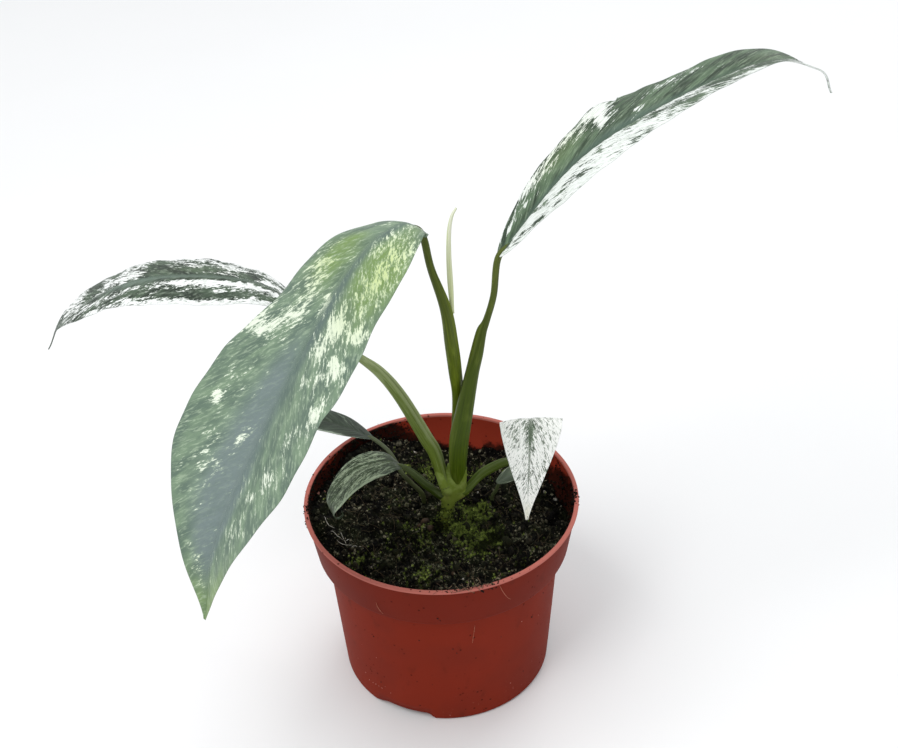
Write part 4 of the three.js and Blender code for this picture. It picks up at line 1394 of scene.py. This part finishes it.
def build_stem_moss(material, count):
    """Moss shoots on the stem's foot, thinner the higher."""
    random = np.random.default_rng(SEED + 7)
    x, y, z, _ = catmull(STEM, np.linspace(0, 1, 60)).T
    height = SOIL_LEVEL - 1 + STEM_MOSS_REACH * random.uniform(0, 1, count) ** 1.4
    angle = random.uniform(0, 2 * math.pi, count)
    out = STEM_MOSS_RADIUS + (1 - (height - SOIL_LEVEL) / STEM_MOSS_REACH) * random.uniform(0, 1.6, count)
    places = polar(out, angle, height)
    places[:, 0] += np.interp(height, z, x)
    places[:, 1] += np.interp(height, z, y)
    sizes = random.uniform(1.0, 2.3, (count, 1)) * np.array([[0.8, 0.8, 1.0]])
    join_moss("stem_moss", [place_moss(random, moss_shoot(3, 5, 20), places, 1.2, sizes)], material)


# Fibres and hairs

def thread(points, radius, sides=5):
    """A thin tapered tube through points, as points and quads."""
    points = np.asarray(points, float)
    ahead = unit(np.gradient(points, axis=0))
    side = unit(np.cross(ahead, (0.31, 0.22, 0.92)))
    size = radius * (1 - 0.6 * np.linspace(-1, 1, len(points)) ** 4)
    ring = rings_round(points, side, np.cross(ahead, side), size[:, None], even_angles(sides))
    return ring, tube_faces(len(points), sides)


def build_threads(name, lines, radius, material):
    make_piece(name, *join_blocks([thread(line, radius) for line in lines]), material)


def soil_fibres(count, seed):
    """Bent fibres that lie on and stick out of the soil."""
    random = np.random.default_rng(seed)
    lines = []
    for start_x, start_y in zip(*soil_places(random, count, FIBRE_REACH)):
        angle = random.uniform(0, 2 * math.pi)
        length = random.uniform(2.5, 9)
        t = np.linspace(0, 1, 7)
        bend = random.uniform(-0.9, 0.9)
        x = start_x + length * t * np.cos(angle + bend * t)
        y = start_y + length * t * np.sin(angle + bend * t)
        lift = random.uniform(0, 1.6)
        z = rough_soil_height(x, y) + 0.3 + lift * np.sin(math.pi * t * random.uniform(0.5, 1))
        lines.append(np.column_stack([*inside_wall(x, y, z, 0.5), z]))
    return lines


def lip_fibres(count, seed):
    """Short bent fibres in the clump of soil on the lip."""
    random = np.random.default_rng(seed)
    t = np.linspace(0, 1, 6)
    lines = []
    for azimuth in random.normal(*LIP_CLUMP, count):
        start = polar(LIP_RADIUS + random.uniform(-2.4, 0.2), math.radians(azimuth), POT_HEIGHT + 0.3)
        step = np.array([*random.uniform(-1, 1, 2), random.uniform(-0.1, 0.5)])
        step = step / np.linalg.norm(step) * random.uniform(1.2, 4)
        bow = np.outer(np.sin(math.pi * t), random.uniform(-0.4, 0.4, 3))
        lines.append(start + t[:, None] * step + bow)
    return lines


def wall_hairs():
    paths = [catmull(hair, np.linspace(0, 1, 14)).T for hair in WALL_HAIRS]
    return [on_wall(azimuth, height, 0.1) for azimuth, height in paths]


def pale_fibres():
    paths = [catmull(fibre, np.linspace(0, 1, 12)).T for fibre in PALE_FIBRES]
    return [np.column_stack([x, y, rough_soil_height(x, y) + 0.9]) for x, y in paths]


# Stage

def build_floor(material):
    mesh = bpy.data.meshes.new("floor")
    corners = [(x * FLOOR_HALF_SIZE, y * FLOOR_HALF_SIZE, 0) for x, y in ((-1, -1), (1, -1), (1, 1), (-1, 1))]
    mesh.from_pydata(corners, [], [(0, 1, 2, 3)])
    mesh.materials.append(material)
    floor = bpy.data.objects.new("floor", mesh)
    SCENE.collection.objects.link(floor)


def add_light(name, place, size, power):
    data = bpy.data.lights.new(name, "AREA")
    data.size = size
    data.energy = power
    light = bpy.data.objects.new(name, data)
    SCENE.collection.objects.link(light)
    light.location = place
    light.rotation_euler = (Vector(LAMP_TARGET) - Vector(place)).to_track_quat("-Z", "Y").to_euler()


def set_light():
    world = bpy.data.worlds.new("studio")
    SCENE.world = world
    world.use_nodes = True
    world.node_tree.nodes["Background"].inputs["Color"].default_value = WORLD_COLOUR
    world.node_tree.nodes["Background"].inputs["Strength"].default_value = WORLD_STRENGTH
    for name, lamp in LAMPS.items():
        add_light(name, *lamp)
    SCENE.view_settings.view_transform = "Standard"


make_camera()

for leaf_name in LEAVES:
    build_blade(leaf_name, blade_material(leaf_name), BLADE_SLOTS[leaf_name])
    build_petiole(leaf_name, petiole_material(f"{leaf_name}_petiole", *PETIOLE_COLOURS[leaf_name]))
stalk("shoot", SHOOT[1], SHOOT[0], shoot_material(), "shoot_pale", ["new_shoot"], SHOOT_START)
build_stem(stem_material())
build_pot(pot_material())

build_soil(peat_material("peat_bed", (6, 5, 4), (30, 25, 18), 0.35))
build_crumbs("peat_clods", peat_material("peat_clods", (12, 10, 7), (56, 47, 34), 0.4, 0.3),
             count=480, size=1.7, detail=2, seed=SEED + 20)
build_crumbs("peat_crumbs", peat_material("peat_crumbs", (12, 10, 7), (66, 56, 42), 0.4, 0.9),
             count=8400, size=0.8, detail=1, seed=SEED + 40)
build_crumbs("peat_dust", grain_material("peat_dust", (170, 162, 138), (70, 64, 48), 900),
             count=700, size=0.5, detail=1, seed=SEED + 50, lift=0.7)
build_wall_dirt(peat_material("wall_dirt", (18, 15, 11), (60, 44, 32), 0.2))
moss = moss_material("moss", (22, 26, 10), (108, 124, 54), (178, 194, 106))
build_moss("moss", moss, MOSS_PATCHES, whorls=3, leaves=5, sizes=(1.1, 2.6), seed=SEED + 5)
build_stem_moss(moss, count=560)
tufts = moss_material("tufts", (10, 10, 6), (76, 78, 56), (206, 208, 176))
build_moss("soil_tufts", tufts, TUFT_PATCHES, whorls=2, leaves=4, sizes=(0.8, 2.2), seed=SEED + 6)
build_threads("peat_fibres", soil_fibres(count=420, seed=SEED + 60), radius=0.1,
              material=grain_material("peat_fibre", (96, 84, 62), (44, 36, 24), 700))
build_threads("root_hairs", wall_hairs(), radius=0.11,
              material=grain_material("root_hair", (190, 120, 96), (150, 84, 62), 900))
build_stones("perlite", PERLITE, grain_material("perlite", (216, 212, 202), (130, 122, 112), 900), SEED + 70)
build_stones("pink_stone", PINK_STONES, grain_material("pink_stone", (176, 120, 104), (96, 52, 44), 700),
             SEED + 75)
build_threads("pale_fibres", pale_fibres(), radius=0.13,
              material=grain_material("pale_fibre", (214, 210, 200), (150, 146, 134), 900))
build_stones("bark", BARK, grain_material("bark", (78, 60, 44), (38, 29, 21), 420), SEED + 80)
build_lip_crumbs(peat_material("lip_peat", (26, 20, 14), (84, 66, 50), 0.1))
build_threads("lip_fibres", lip_fibres(count=46, seed=SEED + 90), radius=0.09,
              material=grain_material("lip_fibre", (150, 128, 104), (62, 46, 34), 700))
build_wall_grains("wall_grains_dark", DARK_GRAINS,
                  grain_material("dark_grain", (40, 16, 10), (24, 10, 8), 900), SEED + 100)
build_wall_grains("wall_grains_pale", PALE_GRAINS,
                  grain_material("pale_grain", (214, 150, 136), (160, 96, 84), 900), SEED + 110)

build_floor(floor_material())
set_light()
